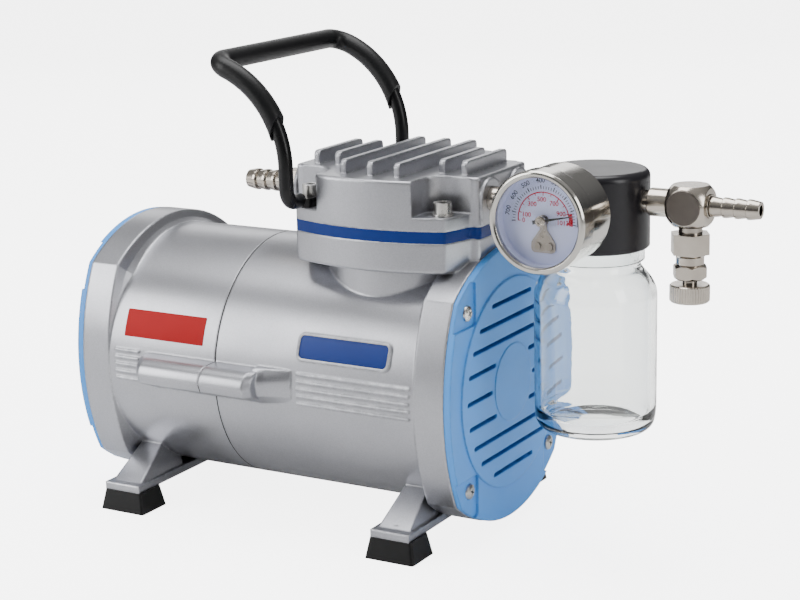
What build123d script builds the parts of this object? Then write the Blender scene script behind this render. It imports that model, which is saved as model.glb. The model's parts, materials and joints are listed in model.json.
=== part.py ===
from build123d import *
import os
from math import cos, radians, sin, sqrt

os.makedirs("parts", exist_ok=True)

# Vacuum pump with moisture trap, vacuum gauge and bleed regulator. Sizes in mm.
# +X runs along the motor shaft from the rear cover toward the trap, -Y is the side with the gauge,
# +Z is up. The origin is the middle of the base of the whole object.

# Layout along the shaft, measured from the seam between the two housings
tail_tip = 260.2            # end of the inlet hose tail
front_len = 127.0           # front housing, to its cover
front_ridge = 111.5         # where the front rim is widest
rear_len = 81.0             # rear housing, to its cover
rear_ridge = 65.0
head_from_seam = 77.0       # cylinder axis
front_leg = 101.8
rear_leg = 54.4
trap_from_seam = 181.6      # jar, cap and gauge
tee_from_seam = 227.6       # tee and bleed regulator

# Casing
case_r = 62.0
belly_h = 11.3              # casing above the floor
wall = 3.0
rim_out_y = 0.2             # rim beyond the casing at mid height, and at the top
rim_out_z = 5.8
rim_corner_y = 0.812        # rim corners, as shares of its half-width and half-height
rim_corner_z = 0.730
rim_run = 14.0              # length over which the rim sinks into the casing
rim_flare = ((0.0, 0.0), (0.16, 3.8), (0.42, 7.4), (1.0, 10.8))
mouth_wall = 5.7            # wall round the open ends
cover_t = 4.5
cover_inset = 0.3
panel_edge = 10.5           # raised panel, in from the casing
panel_rise = 0.8
slot_h = 2.2
slot_edge = 5.0             # slot ends, in from the panel
slot_shares = (0.895, 0.695, 0.497, 0.269, 0, -0.269, -0.497, -0.695, -0.895)
disc_r = 19.0               # bare round plate in the middle of the front cover
disc_rise = 0.4
cover_screw_y = 0.6823      # cover screws, as shares of the casing's radius
cover_screw_z = 0.6968
cover_screw_r = 1.8
cover_screw_l = 10.0
tab_w = 22.0                # recessed corner tabs of the covers
tab_h = 21.0
tab_floor = 2.4

# Legs and feet
foot_h = 10.7
foot_inset = 0.3            # feet, in from the casing's side
foot_l = 26.5
foot_w = 20.6
foot_top_l = 22.6
foot_top_w = 16.5
leg_w = 20.7
leg_t = 3.7
leg_lip = 8.8               # leg beyond the middle of the foot
gusset_w = 17.0
gusset_top_w = 12.0
gusset_lip = 4.3
gusset_in = 0.703           # top of the gusset, as a share of the casing's radius
gusset_root = 0.484

# Cast details on the side of the casing
rib_levels = (-5.3, -1.7, 1.9, 5.5, 9.1)
rib_t = 1.3
rib_rise = 0.9
bar_rear = 42.0             # side bar, its rear end
bar_full = 36.0
bar_front = 25.0
bar_nose = 44.0
bar_top = 9.6
bar_low = -8.4
bar_rise = 14.5             # side bar beyond the casing
bar_root = 2.0
plate_mid = 72.0            # name plate frame, its middle from the seam
plate_l = 50.8
plate_w = 13.6
plate_angle = 20.7
frame_rise = 1.0

# Cylinder neck, deck, valve plate and head
neck_r = 41.5
deck_rise = 12.4            # deck above the casing
deck_t = 14.7
deck_edge_r = 1.6
head_edge_r = 1.3
valve_plate_t = 5.5
head_h = 23.4
head_mid = 48.6             # half-width at mid side
head_corner = 40.5
nose_reach = 50.3
nose_w = 24.5
pocket_x = 25.7             # screw pockets begin here
pocket_y = 24.8
pocket_rise = 6.4           # screw pockets' floor above the valve plate
pocket_r = 11.0
fin_h = 6.5
fin_t = 2.8
long_fins = (-14.5, 0, 14.5)
short_fins = (-40.4, -28.6, 28.6, 40.4)
long_fin = 38.9
short_fin = 20.6
head_screw_x = 36.0
head_screw_y = 33.5
screw_r = 2.5
screw_head_r = 4.25
screw_head_h = 5.3
washer_r = 5.2
washer_t = 1.0
port_y = 14.5
port_rise = 12.2            # ports above the valve plate
port_r = 5.0
boss_r = 10.0
boss_rise = 1.5
chamber_x = 36.0
chamber_y = 21.0
chamber_web = 7.0
roof = 5.0
gasket_w = 2.4
gasket_t = 1.5

# Crank, piston and motor
shaft_r = 6.0
run_gap = 0.05              # radial clearance of turning parts
throw = 3.2
bearing_r = 16.0
bearing_w = 10.0
journal_r = 10.0
rod_w = 12.0
rod_bearing_r = 21.0
rod_ring = 4.5
bore_r = 25.0
sleeve_t = 3.0
sleeve_l = 33.7
piston_gap = throw + 0.4    # the piston is carried round by the crank as well as up and down
piston_drop = 1.6           # piston crown below the valve plate
weight_r = 36.0
stack_rear = 50.0           # motor laminations, from the seam
stack_front = 6.0
stator_share = 0.495        # stator bore, as a share of the casing's inside
air_gap = 0.6
tooth_tip = 2.2
back_iron = 12.0
slot_count = 12
coil_w = 8.0
end_turn = 8.0
tie_edge = 7.0              # tie bolts and fan, in from the casing's inside
fan_edge = 9.0
fan_x = 106.5
fan_w = 14.0
blade_count = 7

# Handle
rod_r = 3.5
grip_r = 4.9
handle_y = 55.0
handle_foot_rise = 3.4      # rod's middle above the screw pockets
handle_bow_rise = 3.4       # middle of the bow above the head
handle_bow_r = 49.0
handle_bow_deg = 68.0
handle_corner_r = 8.5
foot_bend_r = 7.0
grip_from_deg = 23.5        # sleeve ends, cut on a slant
grip_overlap_deg = 8.0
tang_t = 4.4

# Trap, gauge, tee and bleed regulator
jar_r = 28.2
jar_h = 95.9
jar_wall = 2.6
jar_neck_r = 20.2
jar_in_cap = 9.5            # jar above the cap's lower edge
cap_r = 24.7
cap_h = 35.8
cap_rise = 18.4             # cap's top above the ports
cap_edge_r = 3.5
seal_t = 1.5
collar_r = 22.4
collar_h = 5.5
thread_gap = 0.3
gauge_rise = 4.1            # gauge above the ports
gauge_r = 22.8
gauge_back = 45.0
gauge_front = 76.4
bezel_w = 10.4
tee_rise = 4.8              # tee above the ports
tee_half = 9.2
tee_round_r = 12.2          # ball that rounds the tee's corners
stem_r = 3.25
knob_r = 9.05
knob_h = 8.0
flute_count = 44
flute_r = 0.5
hex_drop = 21.9             # regulator's hexagon, neck, lock nut and knob, down from the tee's middle
neck_drop = 26.6
nut_drop = 33.4
knob_drop = 43.8

# Switch and mains inlet on the rear cover
bezel_t = 2.0
rocker_rise = 1.5
inlet_dz = -22.0
inlet_w = 27.4
inlet_hgt = 19.8
inlet_depth = 13.5
switch_dz = 20.0
switch_w = 13.0
switch_hgt = 19.4

# Derived positions
axis_h = case_r + belly_h
rim_w = case_r + rim_out_y
rim_h = case_r + rim_out_z
rim_cy = rim_w * rim_corner_y
rim_cz = rim_h * rim_corner_z
panel_r = case_r - panel_edge
slot_reach = panel_r - slot_edge
slot_levels = [share * slot_reach for share in slot_shares]
screw_y = case_r * cover_screw_y
screw_z = case_r * cover_screw_z
foot_y = case_r - foot_inset
seam_x = (rear_len + cover_t + bezel_t + rocker_rise - tail_tip) / 2
front_end = seam_x + front_len
rear_end = seam_x - rear_len
head_x = seam_x + head_from_seam
trap_x = seam_x + trap_from_seam
tee_x = seam_x + tee_from_seam
inner_r = case_r - wall
mouth_r = rim_w - mouth_wall
deck_top = axis_h + case_r + deck_rise
deck_low = deck_top - deck_t
plate_top = deck_top + valve_plate_t
pocket_floor = plate_top + pocket_rise
port_z = plate_top + port_rise
head_top = plate_top + head_h
rear_wall_x = seam_x - rear_ridge - 1.0
wall_t = 4.0
front_wall_x = seam_x + 30.0
crown_z = deck_top - piston_drop
pin_z = axis_h + throw
handle_x = head_x - head_screw_x
handle_foot_z = pocket_floor + handle_foot_rise
handle_bow_z = head_top + handle_bow_rise
tie_r = inner_r - tie_edge
fan_r = inner_r - fan_edge
stator_in_r = inner_r * stator_share
slot_in_r = stator_in_r + tooth_tip
slot_out_r = inner_r - back_iron
cap_top = port_z + cap_rise
cap_low = cap_top - cap_h
jar_top = cap_low + jar_in_cap
jar_low = jar_top - jar_h
collar_top = cap_low - thread_gap
gauge_z = port_z + gauge_rise
tee_z = port_z + tee_rise
knob_low = tee_z - knob_drop
knob_top = knob_low + knob_h


def cross(x, y=0.0, z=axis_h):
    return Plane(origin=(x, y, z), x_dir=(0, 1, 0), z_dir=(1, 0, 0))


def level(z, x=0.0, y=0.0):
    return Plane(origin=(x, y, z), x_dir=(1, 0, 0), z_dir=(0, 0, 1))


def near(y, x, z):
    return Plane(origin=(x, y, z), x_dir=(1, 0, 0), z_dir=(0, -1, 0))


def along_x(x, y, z, way=1):
    return Plane(origin=(x, y, z), x_dir=(way, 0, 0), z_dir=(0, -1, 0))


def along_z(x, y, z, way=1):
    return Plane(origin=(x, y, z), x_dir=(0, 0, way), z_dir=(0, 1, 0))


def toward_viewer(x, y, z):
    return Plane(origin=(x, y, z), x_dir=(0, -1, 0), z_dir=(0, 0, 1))


def disc(plane, r, length, hole=0.0, mode=Mode.ADD):
    with BuildSketch(plane) as ring:
        Circle(r)
        if hole > 0:
            Circle(hole, mode=Mode.SUBTRACT)
    extrude(ring.sketch, amount=length, mode=mode)


def turned(plane, profile, mode=Mode.ADD):
    with BuildSketch(plane) as section:
        with BuildLine():
            Polyline(*profile, close=True)
        make_face()
    revolve(section.sketch, axis=Axis(plane.origin, plane.x_dir), mode=mode)


def hexagon(plane, across, length, mode=Mode.ADD):
    with BuildSketch(plane) as flats:
        RegularPolygon(radius=across / 2, side_count=6, major_radius=False)
    extrude(flats.sketch, amount=length, mode=mode)


def block(x0, x1, y0, y1, z0, z1, mode=Mode.ADD):
    with Locations(((x0 + x1) / 2, (y0 + y1) / 2, (z0 + z1) / 2)):
        Box(x1 - x0, y1 - y0, z1 - z0, mode=mode)


def cushion(half_w, half_h, corner_w, corner_h):
    with BuildLine() as outline:
        ThreePointArc((corner_w, -corner_h), (half_w, 0), (corner_w, corner_h))
        ThreePointArc((corner_w, corner_h), (0, half_h), (-corner_w, corner_h))
        ThreePointArc((-corner_w, corner_h), (-half_w, 0), (-corner_w, -corner_h))
        ThreePointArc((-corner_w, -corner_h), (0, -half_h), (corner_w, -corner_h))
    make_face(outline.edges())


def rim_outline(inset=0.0):
    cushion(rim_w - inset, rim_h - inset, rim_cy - inset, rim_cz - inset)


def rim(x_low, x_high, x_ridge, way):
    # Straight band at the open end, then a hollow flare that runs into the casing
    with BuildSketch(cross(x_low)) as end:
        rim_outline()
    extrude(end.sketch, amount=x_high - x_low)
    for (run0, drop0), (run1, drop1) in zip(rim_flare, rim_flare[1:]):
        with BuildSketch(cross(x_ridge + way * run0 * rim_run)) as ridge:
            rim_outline(drop0)
        with BuildSketch(cross(x_ridge + way * run1 * rim_run)) as sink:
            rim_outline(drop1)
        loft([ridge.sketch.face(), sink.sketch.face()], ruled=True)


def legs(x):
    lip = foot_y + leg_lip
    block(x - leg_w / 2, x + leg_w / 2, -lip, lip, foot_h, foot_h + leg_t)
    shoulder_y = case_r * gusset_in
    root_y = case_r * gusset_root
    toe_y = foot_y + gusset_lip
    top = axis_h - sqrt(case_r ** 2 - shoulder_y ** 2)
    low = foot_h + leg_t - 0.1
    for side in (-1, 1):
        with BuildSketch(level(low, x, side * (toe_y + root_y) / 2)) as foot:
            Rectangle(gusset_w, toe_y - root_y)
        with BuildSketch(level(top, x, side * (shoulder_y + root_y) / 2)) as shoulder:
            Rectangle(gusset_top_w, shoulder_y - root_y)
        loft([foot.sketch.face(), shoulder.sketch.face()], ruled=True)


def ribs(x0, x1):
    for side in (-1, 1):
        for dz in rib_levels:
            y = sqrt(case_r ** 2 - dz ** 2)
            y0 = min(side * (y - 1.5), side * (y + rib_rise))
            y1 = max(side * (y - 1.5), side * (y + rib_rise))
            block(x0, x1, y0, y1, axis_h + dz - rib_t / 2, axis_h + dz + rib_t / 2)


def bar_outline(side, fullness, height):
    # The bar's depth and height are shares of its full section
    root = case_r - bar_root
    depth = (bar_rise + bar_root) * fullness

    def at(share, z):
        return (side * (root + depth * share), z * height)

    with BuildLine() as outline:
        Line(at(0, bar_top), at(0.545, bar_top - 0.3))
        ThreePointArc(at(0.545, bar_top - 0.3), at(0.9, 6.2), at(1, 1.5))
        Line(at(1, 1.5), at(0.9, -2.5))
        Line(at(0.9, -2.5), at(0, bar_low))
        Line(at(0, bar_low), at(0, bar_top))
    make_face(outline.edges())


def side_bar(stations):
    # Stations give a place along the shaft, and the bar's depth and height there
    for side in (-1, 1):
        for (x0, depth0, height0), (x1, depth1, height1) in zip(stations, stations[1:]):
            with BuildSketch(cross(x0)) as start:
                bar_outline(side, depth0, height0)
            with BuildSketch(cross(x1)) as stop:
                bar_outline(side, depth1, height1)
            loft([start.sketch.face(), stop.sketch.face()], ruled=True)


def head_outline(reach):
    cushion(head_mid, head_mid, head_corner, head_corner)
    Rectangle(2 * reach, 2 * nose_w)


def head_slab(z0, z1, reach):
    with BuildSketch(level(z0, head_x)) as plan:
        head_outline(reach)
        fillet(plan.vertices(), radius=2.2)
    extrude(plan.sketch, amount=z1 - z0)


def head_screw_spots(z):
    return [
        (head_x + sx * head_screw_x, sy * head_screw_y, z) for sx in (-1, 1) for sy in (-1, 1)
    ]


def holes(spots, r, depth, mode=Mode.SUBTRACT):
    for x, y, z in spots:
        disc(level(z, x, y), r, depth, mode=mode)


def wall_with_hub(x, hub_x0, hub_x1):
    disc(cross(x), inner_r + 1.0, wall_t)
    disc(cross(hub_x0), bearing_r + 4.0, hub_x1 - hub_x0)


def wall_vents(x):
    with BuildSketch(cross(x - 1.0)) as openings:
        with PolarLocations((bearing_r + inner_r) / 2 - 3.5, 8, start_angle=22.5):
            Circle(8.0)
        with PolarLocations(tie_r, 4, start_angle=45):
            Circle(2.0)
    extrude(openings.sketch, amount=wall_t + 2.0, mode=Mode.SUBTRACT)


def corner_holes(x0, depth):
    for sy in (-1, 1):
        for sz in (-1, 1):
            disc(cross(x0, sy * screw_y, axis_h + sz * screw_z), cover_screw_r, depth, mode=Mode.SUBTRACT)


def foot_holes(x):
    for side in (-1, 1):
        disc(level(foot_h - 1.0, x, side * foot_y), 2.0, leg_t + 2.0, mode=Mode.SUBTRACT)


# Rear housing: motor end of the casing, with its end wall and bearing hub
with BuildPart() as rear_housing:
    disc(cross(rear_end), case_r, rear_len)
    rim(rear_end, seam_x - rear_ridge, seam_x - rear_ridge, 1)
    legs(seam_x - rear_leg)
    ribs(seam_x - 60.8, seam_x - 46.0)
    side_bar([(seam_x - bar_rear, 0.2, 0.92), (seam_x - bar_rear + 1.6, 0.72, 0.98),
              (seam_x - bar_full, 1.0, 1.0), (seam_x, 1.0, 1.0)])
    disc(cross(rear_end - 1.0), mouth_r, rear_wall_x - rear_end + 1.0, mode=Mode.SUBTRACT)
    disc(cross(rear_wall_x + wall_t), inner_r, seam_x - rear_wall_x, mode=Mode.SUBTRACT)
    wall_with_hub(rear_wall_x, rear_wall_x, rear_wall_x + bearing_w + 1.0)
    disc(cross(rear_wall_x + 1.0), bearing_r, bearing_w + 1.0, mode=Mode.SUBTRACT)
    wall_vents(rear_wall_x)
    corner_holes(rear_end - 1.0, 11.0)
    foot_holes(seam_x - rear_leg)

# Front housing: crankcase, cylinder neck and deck, with the front bearing wall
with BuildPart() as front_housing:
    head_slab(deck_low, deck_top, front_len - head_from_seam - 0.3)
    fillet(front_housing.edges().group_by(Axis.Z)[0], radius=deck_edge_r)
    disc(cross(seam_x), case_r, front_len)
    rim(seam_x + front_ridge, front_end, seam_x + front_ridge, -1)
    legs(seam_x + front_leg)
    ribs(seam_x + 47.1, seam_x + 109.0)
    side_bar([(seam_x, 1.0, 1.0), (seam_x + bar_front, 1.0, 1.0), (seam_x + bar_front + 3.0, 0.78, 0.96)])
    side_bar([(seam_x + bar_front, 0.62, 1.1), (seam_x + bar_front + 6.0, 0.4, 1.1),
              (seam_x + bar_nose, 0.17, 1.1)])
    disc(level(axis_h, head_x), neck_r, deck_low - axis_h + 1.0)
    tilt = radians(plate_angle)
    seat = case_r - 1.5
    frame_plane = Plane(
        origin=(seam_x + plate_mid, -seat * cos(tilt), axis_h + seat * sin(tilt)),
        x_dir=(1, 0, 0),
        z_dir=(0, -cos(tilt), sin(tilt)),
    )
    with BuildSketch(frame_plane):
        RectangleRounded(plate_l, plate_w, 3.2)
    extrude(amount=1.5 + frame_rise)
    with BuildSketch(frame_plane.offset(1.5 + frame_rise - 0.8)):
        RectangleRounded(plate_l - 2.4, plate_w - 2.4, 2.2)
    extrude(amount=2.0, mode=Mode.SUBTRACT)
    disc(cross(seam_x - 1.0), inner_r, front_len - mouth_wall - 8.0, mode=Mode.SUBTRACT)
    disc(cross(seam_x), mouth_r, front_len + 1.0, mode=Mode.SUBTRACT)
    wall_with_hub(front_wall_x, front_wall_x + wall_t - bearing_w, front_wall_x + wall_t)
    disc(cross(seam_x), bearing_r, front_wall_x + wall_t + 1.0 - seam_x, mode=Mode.SUBTRACT)
    wall_vents(front_wall_x)
    disc(level(axis_h + 20.0, head_x), bore_r + sleeve_t, deck_top - axis_h, mode=Mode.SUBTRACT)
    disc(level(deck_top - 3.0, head_x), bore_r + sleeve_t + 3.0, 4.0, mode=Mode.SUBTRACT)
    holes(head_screw_spots(deck_top - 11.0), screw_r, 12.0)
    corner_holes(front_end - 10.0, 11.0)
    foot_holes(seam_x + front_leg)


def cover_plate(x_in, way):
    # Flat plate with recessed corner tabs and a raised round panel
    x_out = x_in + way * cover_t
    low = min(x_in, x_out)
    start = low if way > 0 else low + panel_rise
    with BuildSketch(cross(start)) as plate:
        rim_outline(cover_inset)
    extrude(plate.sketch, amount=cover_t - panel_rise)
    disc(cross(low), panel_r, cover_t)
    tab_low = x_in + tab_floor if way > 0 else low - 1.0
    for sy in (-1, 1):
        for sz in (-1, 1):
            with BuildSketch(cross(tab_low, sy * (screw_y + 4.0), axis_h + sz * (screw_z + 3.5))) as tab:
                RectangleRounded(tab_w, tab_h, 2.0)
            extrude(tab.sketch, amount=cover_t + 1.0 - tab_floor, mode=Mode.SUBTRACT)


def cover_slots(x, inner_half):
    for dz in slot_levels:
        outer = sqrt(slot_reach ** 2 - dz ** 2)
        inner = inner_half(dz)
        if outer < inner + 2 * slot_h:
            continue
        with BuildSketch(cross(x - 1.0, 0, axis_h + dz)) as vent:
            if inner > 0:
                for side in (-1, 1):
                    with Locations((side * (outer + inner) / 2, 0)):
                        SlotOverall(outer - inner, slot_h)
            else:
                SlotOverall(2 * outer, slot_h)
        extrude(vent.sketch, amount=cover_t + 2.0, mode=Mode.SUBTRACT)


def front_gap(dz):
    return sqrt((disc_r + 2.0) ** 2 - dz ** 2) if abs(dz) < disc_r else 0.0


def rear_gap(dz):
    beside_inlet = abs(dz) < inlet_hgt / 2 - inlet_dz + 2 * slot_h
    return inlet_w / 2 + bezel_t + 3.8 if beside_inlet else 0.0


with BuildPart() as front_cover:
    cover_plate(front_end, 1)
    cover_slots(front_end, front_gap)
    disc(cross(front_end + cover_t - 0.5), disc_r, 0.5 + disc_rise)
    corner_holes(front_end - 1.0, cover_t + 2.0)

with BuildPart() as rear_cover:
    cover_plate(rear_end, -1)
    cover_slots(rear_end - cover_t, rear_gap)
    corner_holes(rear_end - cover_t - 1.0, cover_t + 2.0)
    block(rear_end - cover_t - 1.0, rear_end + 1.0, -inlet_w / 2, inlet_w / 2,
          axis_h + inlet_dz - inlet_hgt / 2, axis_h + inlet_dz + inlet_hgt / 2, Mode.SUBTRACT)
    block(rear_end - cover_t - 1.0, rear_end + 1.0, -switch_w / 2, switch_w / 2,
          axis_h + switch_dz - switch_hgt / 2, axis_h + switch_dz + switch_hgt / 2, Mode.SUBTRACT)


def cover_screws(x_seat, way):
    # Low domed heads on the tab floors
    for sy in (-1, 1):
        for sz in (-1, 1):
            turned(along_x(x_seat, sy * screw_y, axis_h + sz * screw_z, way),
                   [(-cover_screw_l, 0), (-cover_screw_l, cover_screw_r), (0, cover_screw_r), (0, 3.9),
                    (1.0, 3.6), (1.8, 2.0), (1.8, 0)])


with BuildPart() as cover_screw_set:
    cover_screws(front_end + tab_floor, 1)
    cover_screws(rear_end - tab_floor, -1)


def rubber_feet():
    for x in (seam_x - rear_leg, seam_x + front_leg):
        for side in (-1, 1):
            with BuildSketch(level(0, x, side * foot_y)) as base:
                RectangleRounded(foot_l, foot_w, 1.5)
            with BuildSketch(level(foot_h, x, side * foot_y)) as top:
                RectangleRounded(foot_top_l, foot_top_w, 1.5)
            loft([base.sketch.face(), top.sketch.face()], ruled=True)
            disc(level(-1.0, x, side * foot_y), 4.2, 5.0, mode=Mode.SUBTRACT)
            disc(level(-1.0, x, side * foot_y), 2.0, foot_h + 2.0, mode=Mode.SUBTRACT)


with BuildPart() as feet:
    rubber_feet()

with BuildPart() as foot_screws:
    for x in (seam_x - rear_leg, seam_x + front_leg):
        for side in (-1, 1):
            turned(along_z(x, side * foot_y, 1.4),
                   [(0, 0), (0, 3.0), (0.6, 3.8), (2.6, 3.8), (2.6, 2.0), (12.4, 2.0), (12.4, 0)])

# Cylinder, valve plate and head
with BuildPart() as cylinder_sleeve:
    disc(level(deck_top - sleeve_l, head_x), bore_r + sleeve_t, sleeve_l, hole=bore_r)
    disc(level(deck_top - 3.0, head_x), bore_r + sleeve_t + 3.0, 3.0, hole=bore_r)

reed_x = 13.0
reed_w = 9.0
reed_l = 31.0
reed_t = 0.4
rivet_y = 13.0
valve_spots = [(way * reed_x, y) for way in (1, -1) for y in (-8.0, 0, 8.0)]
rivet_spots = [(way * reed_x, side * rivet_y) for way in (1, -1) for side in (-1, 1)]

with BuildPart() as valve_plate:
    head_slab(deck_top, plate_top, nose_reach)
    with BuildSketch(level(deck_top - 1.0, head_x)):
        with Locations(*valve_spots):
            Circle(2.0)
        with Locations(*rivet_spots):
            Circle(0.8)
    extrude(amount=valve_plate_t + 2.0, mode=Mode.SUBTRACT)
    holes(head_screw_spots(deck_top - 1.0), screw_r + 0.3, valve_plate_t + 2.0)

with BuildPart() as intake_reed:
    with BuildSketch(level(deck_top - reed_t, head_x)):
        with Locations((reed_x, 0)):
            RectangleRounded(reed_w, reed_l, 2.0)
        with Locations(*rivet_spots[:2]):
            Circle(0.8, mode=Mode.SUBTRACT)
    extrude(amount=reed_t)

with BuildPart() as exhaust_reed:
    with BuildSketch(level(plate_top, head_x)):
        with Locations((-reed_x, 0)):
            RectangleRounded(reed_w, reed_l, 2.0)
        with Locations(*rivet_spots[2:]):
            Circle(0.8, mode=Mode.SUBTRACT)
    extrude(amount=reed_t)

with BuildPart() as reed_rivets:
    for dx, dy in rivet_spots:
        low = deck_top - reed_t if dx > 0 else deck_top
        high = plate_top if dx > 0 else plate_top + reed_t
        disc(level(low - 0.5, head_x + dx, dy), 1.5, 0.5)
        disc(level(low - 0.2, head_x + dx, dy), 0.8, high - low + 0.4)
        disc(level(high, head_x + dx, dy), 1.5, 0.5)

chamber_l = chamber_x - chamber_web / 2
chamber_mid = (chamber_x + chamber_web / 2) / 2


def gasket_outline():
    RectangleRounded(2 * (chamber_x + gasket_w + 1.0), 2 * (chamber_y + gasket_w + 1.0), 5.0)
    for way in (-1, 1):
        with Locations((way * chamber_mid, 0)):
            RectangleRounded(chamber_l + 2.0, 2 * chamber_y + 2.0, 3.0, mode=Mode.SUBTRACT)


with BuildPart() as head_gasket:
    with BuildSketch(level(plate_top, head_x)):
        gasket_outline()
    extrude(amount=gasket_t)


def fin(dx, half):
    with BuildSketch(cross(head_x + dx - fin_t / 2, 0, head_top)) as side:
        with Locations((0, (fin_h - 6.0) / 2)):
            RectangleRounded(2 * half, fin_h + 6.0, 2.4)
    extrude(side.sketch, amount=fin_t)


with BuildPart() as cylinder_head:
    head_slab(plate_top, head_top, nose_reach)
    fillet(cylinder_head.edges().group_by(Axis.Z)[-1], radius=head_edge_r)
    for dx in long_fins:
        fin(dx, long_fin)
    for dx in short_fins:
        fin(dx, short_fin)
    for way in (-1, 1):
        for y in (-port_y, port_y):
            x0 = head_x + way * nose_reach - (boss_rise if way < 0 else 0.0)
            with BuildSketch(cross(x0, y, port_z)):
                Circle(boss_r)
                with Locations((0, (plate_top + 1.0 - port_z) / 2)):
                    Rectangle(2 * boss_r, port_z - plate_top - 1.0)
            extrude(amount=boss_rise)
    with BuildSketch(level(pocket_floor, head_x)):
        for sx in (-1, 1):
            for sy in (-1, 1):
                with Locations((sx * (pocket_x + 40.0), sy * (pocket_y + 40.0))):
                    RectangleRounded(80.0, 80.0, pocket_r)
    extrude(amount=40.0, mode=Mode.SUBTRACT)
    with BuildSketch(level(plate_top - 1.0, head_x)):
        for way in (-1, 1):
            with Locations((way * chamber_mid, 0)):
                RectangleRounded(chamber_l, 2 * chamber_y, 3.0)
    extrude(amount=head_h - roof + 1.0, mode=Mode.SUBTRACT)
    with BuildSketch(level(plate_top, head_x)):
        gasket_outline()
    extrude(amount=gasket_t, mode=Mode.SUBTRACT)
    for y in (-port_y, port_y):
        disc(cross(head_x + chamber_x - 2.0, y, port_z), port_r, 30.0, mode=Mode.SUBTRACT)
        disc(cross(head_x - chamber_x - 28.0, y, port_z), port_r, 30.0, mode=Mode.SUBTRACT)
    holes(head_screw_spots(plate_top - 1.0), screw_r + 0.3, 12.0)


def cap_screws(side, seat):
    for sy in (-1, 1):
        x = head_x + side * head_screw_x
        y = sy * head_screw_y
        disc(level(deck_top - 10.0, x, y), screw_r, seat - deck_top + 10.2)
        disc(level(seat, x, y), screw_head_r, screw_head_h)
        hexagon(level(seat + screw_head_h - 2.6, x, y), 4.0, 3.0, Mode.SUBTRACT)


with BuildPart() as head_screws:
    cap_screws(1, pocket_floor + washer_t)
    cap_screws(-1, pocket_floor + tang_t)

with BuildPart() as head_washers:
    for sy in (-1, 1):
        disc(level(pocket_floor, head_x + head_screw_x, sy * head_screw_y), washer_r, washer_t, hole=screw_r + 0.2)

# Plugs in the two far ports
with BuildPart() as port_plugs:
    for way in (-1, 1):
        x = head_x + way * (nose_reach + boss_rise)
        turned(along_x(x, port_y, port_z, way), [(-9.0, 0), (-9.0, port_r), (0, port_r), (0, 6.6), (1.2, 6.6),
                                                (1.8, 6.0), (1.8, 0)])
        hexagon(cross(x + (1.0 if way > 0 else -6.0), port_y, port_z), 9.0, 5.0)


# Hose tails: each barb rises to a short land and tapers toward the tip
def barbs(start, count, pitch, root, crest):
    points = []
    for i in range(count):
        s = start + i * pitch
        points += [(s, root), (s, crest), (s + 1.2, crest), (s + pitch, root + 0.25)]
    return points


tail_pitch = 5.6
exhaust_crest = 5.3
with BuildPart() as exhaust_hose_tail:
    exhaust_plane = along_x(head_x - nose_reach - boss_rise, -port_y, port_z, -1)
    turned(exhaust_plane, [(-9.0, 2.8), (-9.0, port_r), (0, port_r), (0, 6.5), (1.0, 6.5), (1.0, 4.2)]
           + barbs(9.5, 4, tail_pitch, 4.2, exhaust_crest) + [(9.5 + 4 * tail_pitch, 2.8)])
    hexagon(cross(head_x - nose_reach - boss_rise - 8.0, -port_y, port_z), 13.0, 7.0)
    disc(cross(head_x - nose_reach - boss_rise - 9.0, -port_y, port_z), 2.8, 10.0, mode=Mode.SUBTRACT)

# Handle: a bent rod whose flattened ends sit under the rear head screws, with a soft sleeve
bow = radians(handle_bow_deg)
bow_x = handle_x - handle_bow_r


def bow_point(angle, side):
    return Vector(bow_x + handle_bow_r * cos(angle), side * handle_y, handle_bow_z + handle_bow_r * sin(angle))


def handle_legs(start_angle):
    # From the bow's start angle on each side, over both corners, to the straight grip
    ends = []
    for side in (-1, 1):
        a = bow_point(start_angle, side)
        b = bow_point(bow, side)
        inward = Vector(0, -side, 0)
        onward = Vector(-sin(bow), 0, cos(bow))
        centre = b + inward * handle_corner_r
        c = centre + onward * handle_corner_r
        mid = centre + (onward - inward) * (handle_corner_r / sqrt(2))
        ThreePointArc(a, bow_point((start_angle + bow) / 2, side), b)
        ThreePointArc(b, mid, c)
        ends.append(c)
    Line(ends[0], ends[1])


def handle_feet():
    for side in (-1, 1):
        start = (handle_x, side * (head_screw_y + 10.0), handle_foot_z)
        turn = (handle_x, side * (handle_y - foot_bend_r), handle_foot_z)
        up = (handle_x, side * handle_y, handle_foot_z + foot_bend_r)
        k = foot_bend_r * (1 - 1 / sqrt(2))
        bend = (handle_x, side * (handle_y - k), handle_foot_z + k)
        Line(start, turn)
        ThreePointArc(turn, bend, up)
        Line(up, (handle_x, side * handle_y, handle_bow_z))


with BuildPart() as handle_rod:
    with BuildLine() as rod_path:
        handle_legs(0.0)
        handle_feet()
    with BuildSketch(Plane(origin=(handle_x, -head_screw_y - 10.0, handle_foot_z), z_dir=(0, -1, 0))):
        Circle(rod_r)
    sweep()
    for side in (-1, 1):
        with BuildSketch(level(pocket_floor, handle_x, side * (head_screw_y + 2.4))):
            RectangleRounded(11.0, 16.8, 3.0)
        extrude(amount=tang_t)
        disc(level(pocket_floor - 1.0, handle_x, side * head_screw_y), screw_r + 0.2, 8.0, mode=Mode.SUBTRACT)

grip_low = radians(grip_from_deg - grip_overlap_deg)
grip_start = bow_point(grip_low, -1)
grip_way = (sin(grip_low), 0, -cos(grip_low))
slant = radians(grip_from_deg + 45.0)
slant_cut = Plane(origin=bow_point(radians(grip_from_deg), 0), z_dir=(-sin(slant), 0, cos(slant)))
with BuildPart() as handle_grip:
    with BuildLine() as grip_path:
        handle_legs(grip_low)
    with BuildSketch(Plane(origin=grip_start, z_dir=grip_way)):
        Circle(grip_r)
        Circle(rod_r, mode=Mode.SUBTRACT)
    sweep()
    split(bisect_by=slant_cut, keep=Keep.TOP)

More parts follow.
